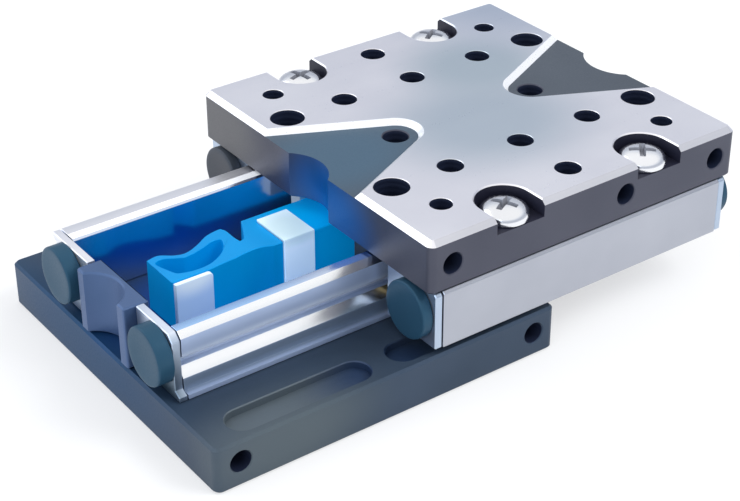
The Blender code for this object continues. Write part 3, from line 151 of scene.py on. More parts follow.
any_ray = nodes.new("ShaderNodeMath")
any_ray.operation = "MAXIMUM"
links.new(path.outputs["Is Camera Ray"], any_ray.inputs[0])
links.new(path.outputs["Is Glossy Ray"], any_ray.inputs[1])
links.new(any_ray.outputs[0], seen.inputs[0])
links.new(seen.outputs[0], mix.inputs[0])
links.new(shader.outputs[0], mix.inputs[1])
links.new(glow.outputs[0], mix.inputs[2])
links.new(mix.outputs[0], nodes["Material Output"].inputs["Surface"])
floor_mesh.materials.append(paper)

# Base plate
# A block of aluminium, milled and hard-anodised dark grey. It has broken edges, four
# shallow slots in its top and blind tapped holes in its sides and underside.

HALF = 11.0
CORNER = 0.45
BREAK = 0.15
OVER = 0.30  # how far a cutter stands out of the face that it cuts
POINT = 0.02  # radius of the smallest ring, which closes the middle of a turned piece


def ring_solid(rings, skins=None, caps=(0, 0)):
    """Joins rings of equal point count and closes both ends.

    Ring i and ring i + 1 are joined by one face for each pair of neighbouring points,
    and the first and last ring each get one flat face. Rings run counter-clockwise
    seen from the last ring's side.
    """
    rings = np.asarray(rings, float)
    levels, count, _ = rings.shape
    i, j = np.meshgrid(np.arange(levels - 1), np.arange(count), indexing="ij")
    near = i * count + j
    far = i * count + (j + 1) % count
    quads = np.stack([near, far, far + count, near + count], -1).reshape(-1, 4)
    first = np.arange(count)[::-1]
    last = np.arange(count) + (levels - 1) * count
    faces = [*quads.tolist(), first.tolist(), last.tolist()]
    skins = np.zeros(levels - 1, int) if skins is None else np.asarray(skins)
    return rings.reshape(-1, 3), faces, [*np.repeat(skins, count).tolist(), *caps]


def joined(solids):
    """Several solids as one list of points, faces and skins."""
    points, faces, skins, start = [], [], [], 0
    for more_points, more_faces, more_skins in solids:
        points.append(more_points)
        faces += [[start + k for k in face] for face in more_faces]
        skins += more_skins
        start += len(more_points)
    return np.concatenate(points), faces, skins


def made(name, solid, materials):
    """Puts points in millimetres, faces and skins into an object at the origin."""
    points, faces, skins = solid
    mesh = bpy.data.meshes.new(name)
    mesh.from_pydata((points * MM).tolist(), [], faces)
    for material in materials:
        mesh.materials.append(material)
    mesh.polygons.foreach_set("material_index", np.asarray(skins, np.int32))
    piece = bpy.data.objects.new(name, mesh)
    bpy.context.scene.collection.objects.link(piece)
    smooth(mesh)
    return piece


def smooth(mesh, angle=28.0):
    """Smooth shading that stays crisp at edges sharper than the angle."""
    mesh.shade_smooth()
    mesh.set_sharp_from_angle(angle=np.radians(angle))


def carved(piece, *cutters):
    """Cuts each (solid, materials) pair out of the piece and keeps the cutters' skins."""
    tools = []
    for solid, materials in cutters:
        tool = made("cutter", solid, materials)
        cut = piece.modifiers.new("cut", "BOOLEAN")
        cut.solver = "EXACT"
        cut.object = tool
        cut.material_mode = "TRANSFER"
        tools.append(tool)
    graph = bpy.context.evaluated_depsgraph_get()
    result = bpy.data.meshes.new_from_object(piece.evaluated_get(graph))
    piece.modifiers.clear()
    piece.data = result
    result.name = piece.name
    for tool in tools:
        bpy.data.objects.remove(tool)
    smooth(result)
    return piece


def dressed(piece, body, *nodes):
    """The piece moves with a body, and stands for CAD nodes."""
    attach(piece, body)
    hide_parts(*nodes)
    return piece


def arc(x, y, radius, start, end, steps):
    """Points of a circle's arc at even angles."""
    turn = np.linspace(start, end, steps)
    return np.stack([x + radius * np.cos(turn), y + radius * np.sin(turn)], -1)


def plate_ring(inset, z, x=0.0, notched=False):
    """Square outline with round corners, moved inwards, with a round notch in both ends."""
    h = HALF - inset
    r = max(CORNER - inset, 0.01)
    c = HALF - CORNER
    corners = [
        arc(c, -c, r, -pi / 2, 0, 9),
        arc(c, c, r, 0, pi / 2, 9),
        arc(-c, c, r, pi / 2, pi, 9),
        arc(-c, -c, r, pi, 1.5 * pi, 9),
    ]
    if notched:
        far = HALF + NOTCH - NOTCH_IN
        radius = NOTCH + inset
        half = np.arccos((far - h) / radius)
        corners.insert(1, arc(far, 0, radius, pi + half, pi - half, 41))
        corners.insert(4, arc(-far, 0, radius, half, -half, 41))
    line = np.concatenate(corners)
    return np.column_stack([line[:, 0] + x, line[:, 1], np.full(len(line), z)])


def turned_rings(profile, at, axis, steps=64):
    """Rings of a turned piece: each (radius, height) gives a circle about the axis."""
    profile = np.asarray(profile, float)
    w = np.asarray(axis, float)
    u = np.cross(w, (0.0, 1.0, 0.0) if abs(w[1]) < 0.9 else (1.0, 0.0, 0.0))
    u /= np.linalg.norm(u)
    v = np.cross(w, u)
    turn = np.linspace(0, 2 * pi, steps, endpoint=False)
    round_part = np.cos(turn)[:, None] * u + np.sin(turn)[:, None] * v
    radius, height = profile[:, 0], profile[:, 1]
    return np.asarray(at) + radius[:, None, None] * round_part + height[:, None, None] * w


def hole(at, outwards, diameter, depth, rim=0.10, steps=48):
    """Blind hole with a countersunk rim: skin 0 is the wall and skin 1 the rim."""
    r = diameter / 2
    tip = (POINT, -depth - 0.5 * r)
    profile = [tip, (r, -depth), (r, -rim), (r + rim + OVER, OVER)]
    return ring_solid(turned_rings(profile, at, outwards, steps), (0, 0, 1), (0, 1))


def new_material(name, metallic, roughness, colour=(0.5, 0.5, 0.5)):
    """A Principled material and its tree."""
    material = bpy.data.materials.new(name)
    material.use_nodes = True
    shader = material.node_tree.nodes["Principled BSDF"]
    shader.inputs["Metallic"].default_value = metallic
    shader.inputs["Roughness"].default_value = roughness
    shader.inputs["Base Color"].default_value = (*colour, 1.0)
    return material, material.node_tree, shader


def grain_group():
    """Node group: cloudy tone, fine grain and hairline masks from stretched noise."""
    tree = bpy.data.node_groups.new("surface grain", "ShaderNodeTree")
    face = tree.interface
    face.new_socket("Vector", in_out="INPUT", socket_type="NodeSocketVector")
    face.new_socket("Grain size", in_out="INPUT", socket_type="NodeSocketFloat")
    face.new_socket("Stretch", in_out="INPUT", socket_type="NodeSocketVector")
    for name in ("Cloud", "Grain", "Hairline"):
        face.new_socket(name, in_out="OUTPUT", socket_type="NodeSocketFloat")
    nodes, links = tree.nodes, tree.links
    start, end = nodes.new("NodeGroupInput"), nodes.new("NodeGroupOutput")
    cloud = nodes.new("ShaderNodeTexNoise")
    cloud.inputs["Scale"].default_value = 160.0
    cloud.inputs["Detail"].default_value = 3.0
    fine = nodes.new("ShaderNodeTexNoise")
    fine.inputs["Detail"].default_value = 4.0
    fine.inputs["Roughness"].default_value = 0.6
    stretch = nodes.new("ShaderNodeVectorMath")
    stretch.operation = "MULTIPLY"
    hair = nodes.new("ShaderNodeTexNoise")
    hair.inputs["Scale"].default_value = 1000.0
    hair.inputs["Detail"].default_value = 5.0
    hair.inputs["Roughness"].default_value = 0.7
    links.new(start.outputs["Vector"], cloud.inputs["Vector"])
    links.new(start.outputs["Vector"], fine.inputs["Vector"])
    links.new(start.outputs["Grain size"], fine.inputs["Scale"])
    links.new(start.outputs["Vector"], stretch.inputs[0])
    links.new(start.outputs["Stretch"], stretch.inputs[1])
    links.new(stretch.outputs[0], hair.inputs["Vector"])
    links.new(cloud.outputs[0], end.inputs["Cloud"])
    links.new(fine.outputs[0], end.inputs["Grain"])
    links.new(hair.outputs[0], end.inputs["Hairline"])
    return tree


GRAIN = grain_group()


def patch_group():
    """Node group: a soft mask, full round a centre and gone at a reach along each axis."""
    tree = bpy.data.node_groups.new("soft patch", "ShaderNodeTree")
    face = tree.interface
    for name in ("Vector", "Centre", "Reach"):
        face.new_socket(name, in_out="INPUT", socket_type="NodeSocketVector")
    face.new_socket("Mask", in_out="OUTPUT", socket_type="NodeSocketFloat")
    nodes, links = tree.nodes, tree.links
    start, end = nodes.new("NodeGroupInput"), nodes.new("NodeGroupOutput")
    away = nodes.new("ShaderNodeVectorMath")
    away.operation = "SUBTRACT"
    share = nodes.new("ShaderNodeVectorMath")
    share.operation = "DIVIDE"
    length = nodes.new("ShaderNodeVectorMath")
    length.operation = "LENGTH"
    fade = nodes.new("ShaderNodeMapRange")
    fade.interpolation_type = "SMOOTHSTEP"
    fade.inputs["From Min"].default_value = 1.0
    fade.inputs["From Max"].default_value = 0.25
    links.new(start.outputs["Vector"], away.inputs[0])
    links.new(start.outputs["Centre"], away.inputs[1])
    links.new(away.outputs[0], share.inputs[0])
    links.new(start.outputs["Reach"], share.inputs[1])
    links.new(share.outputs[0], length.inputs[0])
    links.new(length.outputs["Value"], fade.inputs["Value"])
    links.new(fade.outputs[0], end.inputs["Mask"])
    return tree


PATCH = patch_group()
COLOUR_A, COLOUR_B, COLOUR_OUT = 6, 7, 2  # a Mix node's sockets for colours


def metal_finish(
    name,
    colours,
    metallic,
    roughness,
    grain=9000.0,
    stretch=(1, 1, 1),
    bump=1.5e-6,
    hair=0.0,
    patches=(),
    specular=0.5,
    glow=None,
):
    """A metal whose tone drifts between two colours, with grain and hairlines.

    The cloud mask blends the two colours, the grain and the hairlines move the
    roughness within its range, and both give the bump its height. Each patch is a
    centre and a reach in millimetres and the colour that the metal fades to there;
    in this scene most patches paint light and shade onto the parts. A glow is a
    colour and a strength of light given off, painted onto a part that is no lamp.
    """
    material, tree, shader = new_material(name, metallic, roughness[0])
    shader.inputs["Specular IOR Level"].default_value = specular
    if glow:
        shader.inputs["Emission Color"].default_value = (*glow[0], 1.0)
        shader.inputs["Emission Strength"].default_value = glow[1]
    nodes, links = tree.nodes, tree.links
    place = nodes.new("ShaderNodeTexCoord")
    group = nodes.new("ShaderNodeGroup")
    group.node_tree = GRAIN
    group.inputs["Grain size"].default_value = grain
    group.inputs["Stretch"].default_value = stretch
    links.new(place.outputs["Object"], group.inputs["Vector"])
    tone = nodes.new("ShaderNodeMapRange")
    tone.inputs["From Min"].default_value = 0.35
    tone.inputs["From Max"].default_value = 0.65
    mix = nodes.new("ShaderNodeMix")
    mix.data_type = "RGBA"
    mix.inputs[COLOUR_A].default_value = (*colours[0], 1.0)
    mix.inputs[COLOUR_B].default_value = (*colours[1], 1.0)
    links.new(group.outputs["Cloud"], tone.inputs["Value"])
    links.new(tone.outputs[0], mix.inputs[0])
    for centre, reach, colour in patches:
        patch = nodes.new("ShaderNodeGroup")
        patch.node_tree = PATCH
        patch.inputs["Centre"].default_value = np.multiply(centre, MM)
        patch.inputs["Reach"].default_value = np.multiply(reach, MM)
        links.new(place.outputs["Object"], patch.inputs["Vector"])
        under, mix = mix, nodes.new("ShaderNodeMix")
        mix.data_type = "RGBA"
        mix.inputs[COLOUR_B].default_value = (*colour, 1.0)
        links.new(patch.outputs[0], mix.inputs[0])
        links.new(under.outputs[COLOUR_OUT], mix.inputs[COLOUR_A])
    links.new(mix.outputs[COLOUR_OUT], shader.inputs["Base Color"])
    blend = nodes.new("ShaderNodeMix")
    blend.inputs[0].default_value = hair
    links.new(group.outputs["Grain"], blend.inputs[2])
    links.new(group.outputs["Hairline"], blend.inputs[3])
    gloss = nodes.new("ShaderNodeMapRange")
    gloss.inputs["From Min"].default_value = 0.3
    gloss.inputs["From Max"].default_value = 0.7
    gloss.inputs["To Min"].default_value = roughness[0]
    gloss.inputs["To Max"].default_value = roughness[1]
    links.new(blend.outputs[0], gloss.inputs["Value"])
    links.new(gloss.outputs[0], shader.inputs["Roughness"])
    relief = nodes.new("ShaderNodeBump")
    relief.inputs["Distance"].default_value = bump
    links.new(blend.outputs[0], relief.inputs["Height"])
    links.new(relief.outputs[0], shader.inputs["Normal"])
    return material


WAVES = 3.18  # waves in a metre of a Wave Texture at scale 1
THREAD_PITCH, THREAD_RELIEF = 0.35, 0.014


def tapped(name, colour):
    """Wall of a tapped hole: a fine wave along the hole's axis gives the thread."""
    material, tree, shader = new_material(name, 0.2, 0.45, colour)
    nodes, links = tree.nodes, tree.links
    place = nodes.new("ShaderNodeTexCoord")
    wave = nodes.new("ShaderNodeTexWave")
    wave.bands_direction = "Z"
    wave.inputs["Scale"].default_value = 1.0 / (THREAD_PITCH * MM) / WAVES
    relief = nodes.new("ShaderNodeBump")
    relief.inputs["Distance"].default_value = THREAD_RELIEF * MM
    links.new(place.outputs["Object"], wave.inputs["Vector"])
    links.new(wave.outputs["Fac"], relief.inputs["Height"])
    links.new(relief.outputs[0], shader.inputs["Normal"])
    return material


DARK_ANODISED = metal_finish(
    "dark_anodised",
    ((0.036, 0.057, 0.090), (0.045, 0.068, 0.106)),
    0.35,
    (0.36, 0.48),
    bump=1e-6,
    # Painted light and shade: the front end is painted a dark blue shade, the front of the near
    # side a lighter grey where light falls on it, and the floor between the rails a strong blue
    # as if lit by the glowing drive.
    patches=(
        ((-12, 3, 1.6), (5, 14, 4), (0.008, 0.050, 0.124)),
        ((-7, -12, 1.6), (8, 5.5, 4), (0.082, 0.106, 0.124)),
        ((-2.5, 0.5, 2.75), (9.5, 6.5, 2.0), (0.000, 0.085, 0.42)),
    ),
    specular=0.2,
)
SLOT_DARK = metal_finish(
    "slot_floor",
    ((0.086, 0.112, 0.134), (0.098, 0.126, 0.150)),
    0.3,
    (0.40, 0.52),
    bump=1e-6,
    # Painted shadow: the slots' floors turn dark navy towards the middle of the base, where the
    # carriage's shadow falls.
    patches=(((0.4, -9.5, 2.3), (6.0, 3.0, 2.0), (0.018, 0.040, 0.095)),),
)
# Painted shade: the tapped holes' walls are near black, darker than the anodised faces around
# them.
HOLE_DARK = tapped("tapped_hole", (0.016, 0.023, 0.052))

BASE_TOP = 2.75
BASE_SIDE_HOLES = (9.5, 1.5)
SIDE_TAPPED = (1.25, 1.8, 0.06)  # diameter, depth and rim
MOUNT_HOLES = (8.0, 8.0)
MOUNT_TAPPED = (1.6, 1.9)
RAIL_SCREWS = (7.0, 5.645)
DRIVE_SCREWS = ((5.6, -0.05), (5.6, 1.80))
SCREW_SHANK, SCREW_HEAD, SEAT_DEPTH = 0.38, 0.88, 0.90
SLOT = {"y": 9.5, "start": 0.65, "end": 9.35, "width": 1.85, "depth": 0.45}
SLOT_RIM = 0.06


def slot_cutter(x_sign, y_sign):
    """Obround pocket with a softened mouth: two half circles joined by straights."""
    r = SLOT["width"] / 2
    ends = sorted((x_sign * (SLOT["start"] + r), x_sign * (SLOT["end"] - r)))
    y = y_sign * SLOT["y"]
    rings = []
    for grow, z in ((0.0, -SLOT["depth"]), (0.0, -SLOT_RIM), (SLOT_RIM + OVER, OVER)):
        line = np.concatenate(
            [
                arc(ends[1], y, r + grow, -pi / 2, pi / 2, 25),
                arc(ends[0], y, r + grow, pi / 2, 1.5 * pi, 25),
            ]
        )
        rings.append(np.column_stack([line, np.full(len(line), BASE_TOP + z)]))
    return ring_solid(rings)


def screw_bore(x, y):
    """Counterbore and clearance hole from under the base."""
    profile = [
        (SCREW_SHANK, BASE_TOP + OVER),
        (SCREW_SHANK, SEAT_DEPTH),
        (SCREW_HEAD, SEAT_DEPTH),
        (SCREW_HEAD, 0.03),
        (SCREW_HEAD + 0.04, -0.01),
    ]
    rings = turned_rings(profile, (x, y, 0.0), (0, 0, 1), 40)
    return ring_solid(rings[::-1])


SIGNS = [(x, y) for x in (-1, 1) for y in (-1, 1)]
levels = ((BREAK, 0.0), (0.0, BREAK), (0.0, BASE_TOP - BREAK), (BREAK, BASE_TOP))
base = made(
    "base_plate_finished",
    ring_solid([plate_ring(inset, z) for inset, z in levels]),
    [DARK_ANODISED],
)
base_holes = [
    hole((x * BASE_SIDE_HOLES[0], y * HALF, BASE_SIDE_HOLES[1]), (0, y, 0), *SIDE_TAPPED)
    for x, y in SIGNS
]
base_holes += [
    hole((x * MOUNT_HOLES[0], y * MOUNT_HOLES[1], 0.0), (0, 0, -1), *MOUNT_TAPPED)
    for x, y in SIGNS
]
base_bores = [screw_bore(x * RAIL_SCREWS[0], y * RAIL_SCREWS[1]) for x, y in SIGNS]
base_bores += [screw_bore(x, y) for x, y in DRIVE_SCREWS]
carved(
    base,
    (joined(base_holes), [HOLE_DARK, DARK_ANODISED]),
    (joined([slot_cutter(x, y) for x, y in SIGNS]), [SLOT_DARK]),
    (joined(base_bores), [DARK_ANODISED]),
)
dressed(base, "base", "base_plate")

# Fixed guide rails
# Two bars of hardened bearing steel, ground to a V groove along the outer side, that
# stand on the base and carry the rollers. Screws from below hold them down.


def ground(name, colours, metallic, roughness, bump=4e-7, **more):
    """A ground steel: hairlines that run along the rail, and the metal finish's other values."""
    return metal_finish(
        name, colours, metallic, roughness, stretch=(0.04, 1.0, 1.0), bump=bump, hair=0.7, **more
    )


GROUND_STEEL = ground(
    "ground_steel",
    ((0.62, 0.70, 0.86), (0.68, 0.76, 0.91)),
    1.0,
    (0.12, 0.22),
    # Painted blue reflection: the front half of the near rail's top turns bluer and darker, as
    # if it mirrored the glowing drive.
    patches=(((-7, -5.4, 6.6), (7, 2.2, 1.4), (0.40, 0.62, 0.95)),),
)
# Lighter copies of the ground steel for the faces that the light falls on: painted highlights.
STEEL_BRIGHT = ground(
    "ground_steel_bright", ((0.93, 0.95, 0.97), (0.97, 0.98, 1.0)), 1.0, (0.16, 0.28)
)
STEEL_GREY = ground(
    "ground_steel_grey", ((0.92, 0.92, 0.95), (0.95, 0.95, 0.98)), 1.0, (0.28, 0.38)
)
# Painted highlight: a white, non-metal copy of the ground steel that also gives off a faint
# light, for the inner part of the far rail's top.
STEEL_PAINTED_HIGHLIGHT = ground(
    "ground_steel_painted_highlight",
    ((0.94, 0.95, 0.97), (0.98, 0.98, 1.0)),
    0.0,
    (0.20, 0.30),
    bump=3e-7,
    glow=((0.90, 0.95, 1.00), 0.10),
)
# A darker, less metallic copy of the ground steel for the lands: painted shade.
STEEL_LAND = ground(
    "ground_steel_land",
    ((0.34, 0.43, 0.62), (0.38, 0.47, 0.66)),
    0.45,
    (0.28, 0.36),
    bump=1.2e-7,
    # Painted shade and light: the near rail's lower land turns darker, and the band just above
    # the groove's root lighter.
    patches=(
        ((0, -6.16, 3.45), (40, 0.36, 0.80), (0.160, 0.215, 0.300)),
        ((-4, -5.85, 4.80), (16, 1.6, 0.80), (0.80, 0.88, 1.00)),
    ),
)
RAIL_END = 9.78
RAIL_INNER = 5.13
RAIL_TOP = 6.57
LAND = 6.16
FOOT = 6.58
GUIDE_AXIS = (6.41, 4.51)
GROOVE = 0.9404
RELIEF, RELIEF_DEPTH = 0.20, 0.12
INNER_BREAK = 0.12
SEAT_GAP = 0.05
SEAT = BASE_TOP + SEAT_GAP


def rounded(corners, sizes, steps=5):
    """Outline whose corners are softened by quadratic curves.

    Each corner is left at its size before it and met again at its size after it, and
    the curve between blends the two ends and the corner by (1 - u)^2, 2u(1 - u), u^2.
    """
    corners = np.asarray(corners, float)
    sizes = np.broadcast_to(np.asarray(sizes, float), len(corners))[:, None]
    before = np.roll(corners, 1, 0) - corners
    after = np.roll(corners, -1, 0) - corners
    start = corners + before / np.linalg.norm(before, axis=1)[:, None] * sizes
    end = corners + after / np.linalg.norm(after, axis=1)[:, None] * sizes
    u = np.linspace(0, 1, steps)[None, :, None]
    line = (1 - u) ** 2 * start[:, None] + 2 * u * (1 - u) * corners[:, None]
    line = line + u**2 * end[:, None]
    return line.reshape(-1, 2)


def grown(line, amount):
    """A closed counter-clockwise outline moved outwards, each point along its mitre.

    A mitre is no longer than that of a right angle, so tight corners don't fold.
    """
    edge = np.roll(line, -1, 0) - line
    normal = np.column_stack([edge[:, 1], -edge[:, 0]])
    normal /= np.linalg.norm(normal, axis=1)[:, None]
    previous = np.roll(normal, 1, 0)
    share = np.maximum(1 + (normal * previous).sum(1), 1.0)
    return line + amount * (normal + previous) / share[:, None]


def bar(line, low, high, ease, axis, skins=None, caps=(0, 0)):
    """An outline carried along an axis from low to high, with both end edges broken.

    Axis "X" reads the outline as (y, z), "Y" as (x, z) and "Z" as (x, y).
    """
    area = (line[:, 0] * np.roll(line[:, 1], -1) - np.roll(line[:, 0], -1) * line[:, 1]).sum()
    if area < 0:
        line = line[::-1]
    rings = []
    for inset, along in ((ease, low), (0, low + ease), (0, high - ease), (ease, high)):
        ring = grown(line, -inset)
        third = np.full(len(line), along)
        if axis == "X":
            rings.append(np.column_stack([third, ring]))
        elif axis == "Y":
            rings.append(np.column_stack([ring[:, 0], third, ring[:, 1]]))
        else:
            rings.append(np.column_stack([ring, third]))
    if axis == "Y":
        rings = rings[::-1]
    return ring_solid(rings, skins, caps)


def groove(land, towards):
    """V groove with a relief slot at its root, from its lower mouth to its upper one.

    Its flanks stand at 45 degrees, so its mouth is as high to each side of the guide's
    axis as the land is away from the root.
    """
    y, z = GUIDE_AXIS
    root = y - towards * GROOVE
    reach = abs(land - root)
    return [
        (land, z - reach),
        (root + towards * RELIEF, z - RELIEF),
        (root - towards * RELIEF_DEPTH, z - RELIEF),
        (root - towards * RELIEF_DEPTH, z + RELIEF),
        (root + towards * RELIEF, z + RELIEF),
        (land, z + reach),
    ]


def mirrored(corners, side):
    """The (y, z) outline of the left side, or its mirror image for the right."""
    return np.asarray(corners, float) * (side, 1.0)


SIDES = ((1, "left"), (-1, "right"))
LIP = 0.28
BEVEL = 0.35
PAINTED_HIGHLIGHT_EDGE = 5.80
FLANK_IN, FLANK_LOW = 5.72, 3.3
UPPER_IN, UPPER_HALF = 5.30, 0.5
NECK = 0.25
CLOSE = 0.01


def rail_section(side, bevel, slope=0.0):
    """Outer side of the rail: foot, V groove and bevel; on the left it is upside down."""
    foot = [(FOOT, SEAT), (FOOT, SEAT + LIP), (LAND, SEAT + LIP + slope)]
    top = [(LAND, RAIL_TOP - bevel), (LAND - bevel, RAIL_TOP)]
    if side > 0:
        foot = [(LAND - bevel, SEAT), (LAND, SEAT + bevel)]
        top = [(LAND, RAIL_TOP - LIP - slope), (FOOT, RAIL_TOP - LIP), (FOOT, RAIL_TOP)]
    return foot, top


def rail_skins(solid, side):
    """Skin of each side face, chosen by where the face's middle is.

    Skin 1 is a brighter copy of the ground steel, 2 a lighter, rougher grey copy, 3 a
    darker copy for the lands and 4 a white glowing copy for the inner part of the far
    rail's top: painted light and shade, chosen by which way each face looks. On the near
    rail the top bevel and the groove's lower flank get the brighter copy as painted
    highlights, and the groove's upper flank gets the darker one as painted shade.
    """
    points, faces, skins = solid
    middle = points[np.array(faces[:-2])].mean(1)
    across, up = side * middle[:, 1], middle[:, 2]
    root = GUIDE_AXIS[1]
    painted_highlight = (across < PAINTED_HIGHLIGHT_EDGE) & (up > RAIL_TOP - CLOSE)
    grey = (across > PAINTED_HIGHLIGHT_EDGE) & (up > RAIL_TOP - LIP - CLOSE)
    if side < 0:
        painted_highlight = (across > LAND - BEVEL) & (up > RAIL_TOP - BEVEL)
        flank = (up > FLANK_LOW) & (up < root - NECK)
        painted_highlight |= flank & (across > FLANK_IN) & (across < LAND - 2 * CLOSE)
        grey = np.zeros(len(up), bool)
    land = (across > LAND - 2 * CLOSE) & (up < RAIL_TOP - BEVEL + 2 * CLOSE)
    land |= (across > UPPER_IN) & (abs(up - root - NECK) < UPPER_HALF)
    highlight_skin = 1 if side < 0 else 4
    chosen = np.where(painted_highlight, highlight_skin, np.where(grey, 2, np.where(land, 3, 0)))
    return points, faces, [*chosen.tolist(), *skins[-2:]]


for side, label in SIDES:
    foot, top = rail_section(side, BEVEL)
    corners = [(RAIL_INNER, SEAT), *foot, *groove(LAND, 1), *top]
    # The far rail's top face is split where its painted white highlight ends.
    if side > 0:
        corners.append((PAINTED_HIGHLIGHT_EDGE, RAIL_TOP))
    corners += [(RAIL_INNER + INNER_BREAK, RAIL_TOP), (RAIL_INNER, RAIL_TOP - INNER_BREAK)]
    line = rounded(mirrored(corners, side), 0.018, 4)
    solid = rail_skins(bar(line, -RAIL_END, RAIL_END, 0.015, "X"), side)
    skins = [GROUND_STEEL, STEEL_BRIGHT, STEEL_GREY, STEEL_LAND, STEEL_PAINTED_HIGHLIGHT]
    rail = made(f"guide_rail_{label}_ground", solid, skins)
    dressed(rail, "base", f"guide_rail_{label}")

# Fixed guide's end plates
# Thin plates of satin steel across the rails' ends. They keep the roller cages in, and
# each has a screw hole. The front ones are wide, the rear ones just cover the rails.

SATIN_STEEL = metal_finish(
    "satin_steel",
    ((0.44, 0.53, 0.66), (0.50, 0.59, 0.72)),
    0.9,
    (0.30, 0.40),
    stretch=(1.0, 0.08, 1.0),
    bump=6e-7,
    hair=0.6,
    # Painted shade and highlights: the near front plate is painted dark low down, and both front
    # plates are painted light along their tops.
    patches=(
        ((-10.6, -3.8, 3.2), (1.2, 5.0, 3.4), (0.030, 0.075, 0.110)),
        ((-10.0, -4.5, 6.8), (1.6, 5.0, 0.6), (0.84, 0.90, 1.00)),
        ((-10.0, 4.8, 6.8), (1.6, 5.0, 1.6), (0.90, 0.90, 0.94)),
    ),
)
ENDS = ((-1, "front"), (1, "rear"))
GUIDE_PLATE = {
    "front": {"inner": 2.60, "hole": (4.75, 4.97), "size": 0.80},
    "rear": {"inner": 4.48, "hole": (5.645, 5.90), "size": 0.60},
}
GUIDE_PLATE_OUT = 0.53
PLATE_BEVEL, PLATE_SLOPE = 0.40, 0.20
BEYOND = 0.2


def through_hole(at, diameter, low, high, axis="X", steps=40):
    """Round cutter through a plate, a little longer than the plate is thick."""
    low, high = low - BEYOND, high + BEYOND
    where, way = {"X": ((low, *at), (1, 0, 0)), "Z": ((*at, low), (0, 0, 1))}[axis]
    profile = [(diameter / 2, 0), (diameter / 2, high - low)]
    return ring_solid(turned_rings(profile, where, way, steps))


for end, end_name in ENDS:
    for side, label in SIDES:
        node = f"guide_end_plate_{end_name}_{label}"
        form = GUIDE_PLATE[end_name]
        foot, top = rail_section(side, PLATE_BEVEL, PLATE_SLOPE)
        corners = [(form["inner"], SEAT), *foot, *top, (form["inner"], RAIL_TOP)]
        line = rounded(mirrored(corners, side), 0.05)
        low, high = sorted((end * (RAIL_END + SEAT_GAP), end * (RAIL_END + GUIDE_PLATE_OUT)))
        plate = made(node + "_satin", bar(line, low, high, 0.04, "X"), [SATIN_STEEL])
        where = (side * form["hole"][0], form["hole"][1])
        carved(plate, (through_hole(where, form["size"], low, high), [SATIN_STEEL]))
        dressed(plate, "base", node)

# Round buttons and end screws
# Low turned heads of blackened steel. Two sit on the fixed guide's front plates, and
# one stands on each end of both moving rails and screws into it.

BLACK_STEEL = metal_finish(
    "blackened_steel",
    ((0.018, 0.062, 0.106), (0.024, 0.072, 0.122)),
    0.20,
    (0.32, 0.44),
    bump=8e-7,
    # Painted light: the far front end screw is painted a lighter, greyer tone than the other
    # heads.
    patches=(((2.0, 9.1, 5.0), (4.0, 4.0, 4.0), (0.070, 0.076, 0.090)),),
    specular=0.15,
)
BUTTON = (1.65, 0.88, 0.35, 0.50)  # radius, thickness, shank radius and shank length
END_SCREW = (1.67, 0.60, 0.55, 2.50)


def room(node):
    """Lowest and highest corner of a CAD node, in millimetres."""
    return [np.array(corner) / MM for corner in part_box(node)]


def head_profile(radius, thickness, shank, length):
    """Low head with a turned edge radius and a faint dish in its face, then its shank."""
    turn = np.linspace(0, pi / 2, 6)
    ease = 0.12
    edge = np.column_stack([radius - ease + ease * np.sin(turn), -ease + ease * np.cos(turn)])
    face = [(POINT, -0.04), (radius * 0.55, -0.03), (radius * 0.80, 0.0)]
    tail = [(radius, -thickness), (shank, -thickness), (shank, -thickness - length)]
    return np.concatenate([face, edge, tail])


def head(name, at, axis, sizes, materials):
    """A turned head with its face towards the axis, built from its tail up."""
    rings = turned_rings(head_profile(*sizes)[::-1], at, axis, 72)
    return made(name, ring_solid(rings), materials)


for side, label in SIDES:
    node = f"guide_end_button_{label}"
    low, high = room(node)
    at = (low[0], (low[1] + high[1]) / 2, (low[2] + high[2]) / 2)
    button = head(node + "_turned", at, (-1, 0, 0), BUTTON, [BLACK_STEEL])
    dressed(button, "base", node)
    for end, end_name in ENDS:
        node = f"carriage_end_screw_{end_name}_{label}"
        low, high = room(node)
        x = low[0] if end < 0 else high[0]
        at = (x, (low[1] + high[1]) / 2, (low[2] + high[2]) / 2)
        screw = head(node + "_turned", at, (end, 0, 0), END_SCREW, [BLACK_STEEL])
        dressed(screw, "carriage", node)

# Cable exit block
# A dark anodised block in the middle of the front end, with a round channel down its
# front face for the cable. It stands on the base between the two end plates.

BLOCK_ANODISED = metal_finish(
    "block_anodised",
    ((0.055, 0.105, 0.220), (0.072, 0.125, 0.255)),
    0.45,
    (0.38, 0.50),
    bump=1e-6,
)
BLOCK_HALF, BLOCK_BACK = 2.5, -9.5
CHANNEL, CHANNEL_IN = 2.0, 1.15
far = HALF + CHANNEL - CHANNEL_IN
half = np.arccos((far - HALF) / CHANNEL)
channel = arc(-far, 0, CHANNEL, half, -half, 41)
corners = [
    (-HALF, -BLOCK_HALF),
    (BLOCK_BACK, -BLOCK_HALF),
    (BLOCK_BACK, BLOCK_HALF),
    (-HALF, BLOCK_HALF),
]
line = np.concatenate([channel, rounded(corners, [0.15, 0.06, 0.06, 0.15])])
block = made("cable_exit_block_milled", bar(line, SEAT, RAIL_TOP, 0.10, "Z"), [BLOCK_ANODISED])
dressed(block, "base", "cable_exit_block")

# Drive body and flexure
# One blue anodised block, cut by wire erosion, with a thin wavy arm at its left that
# presses the drive on its runner. A light side plate and a strap are bonded to it.

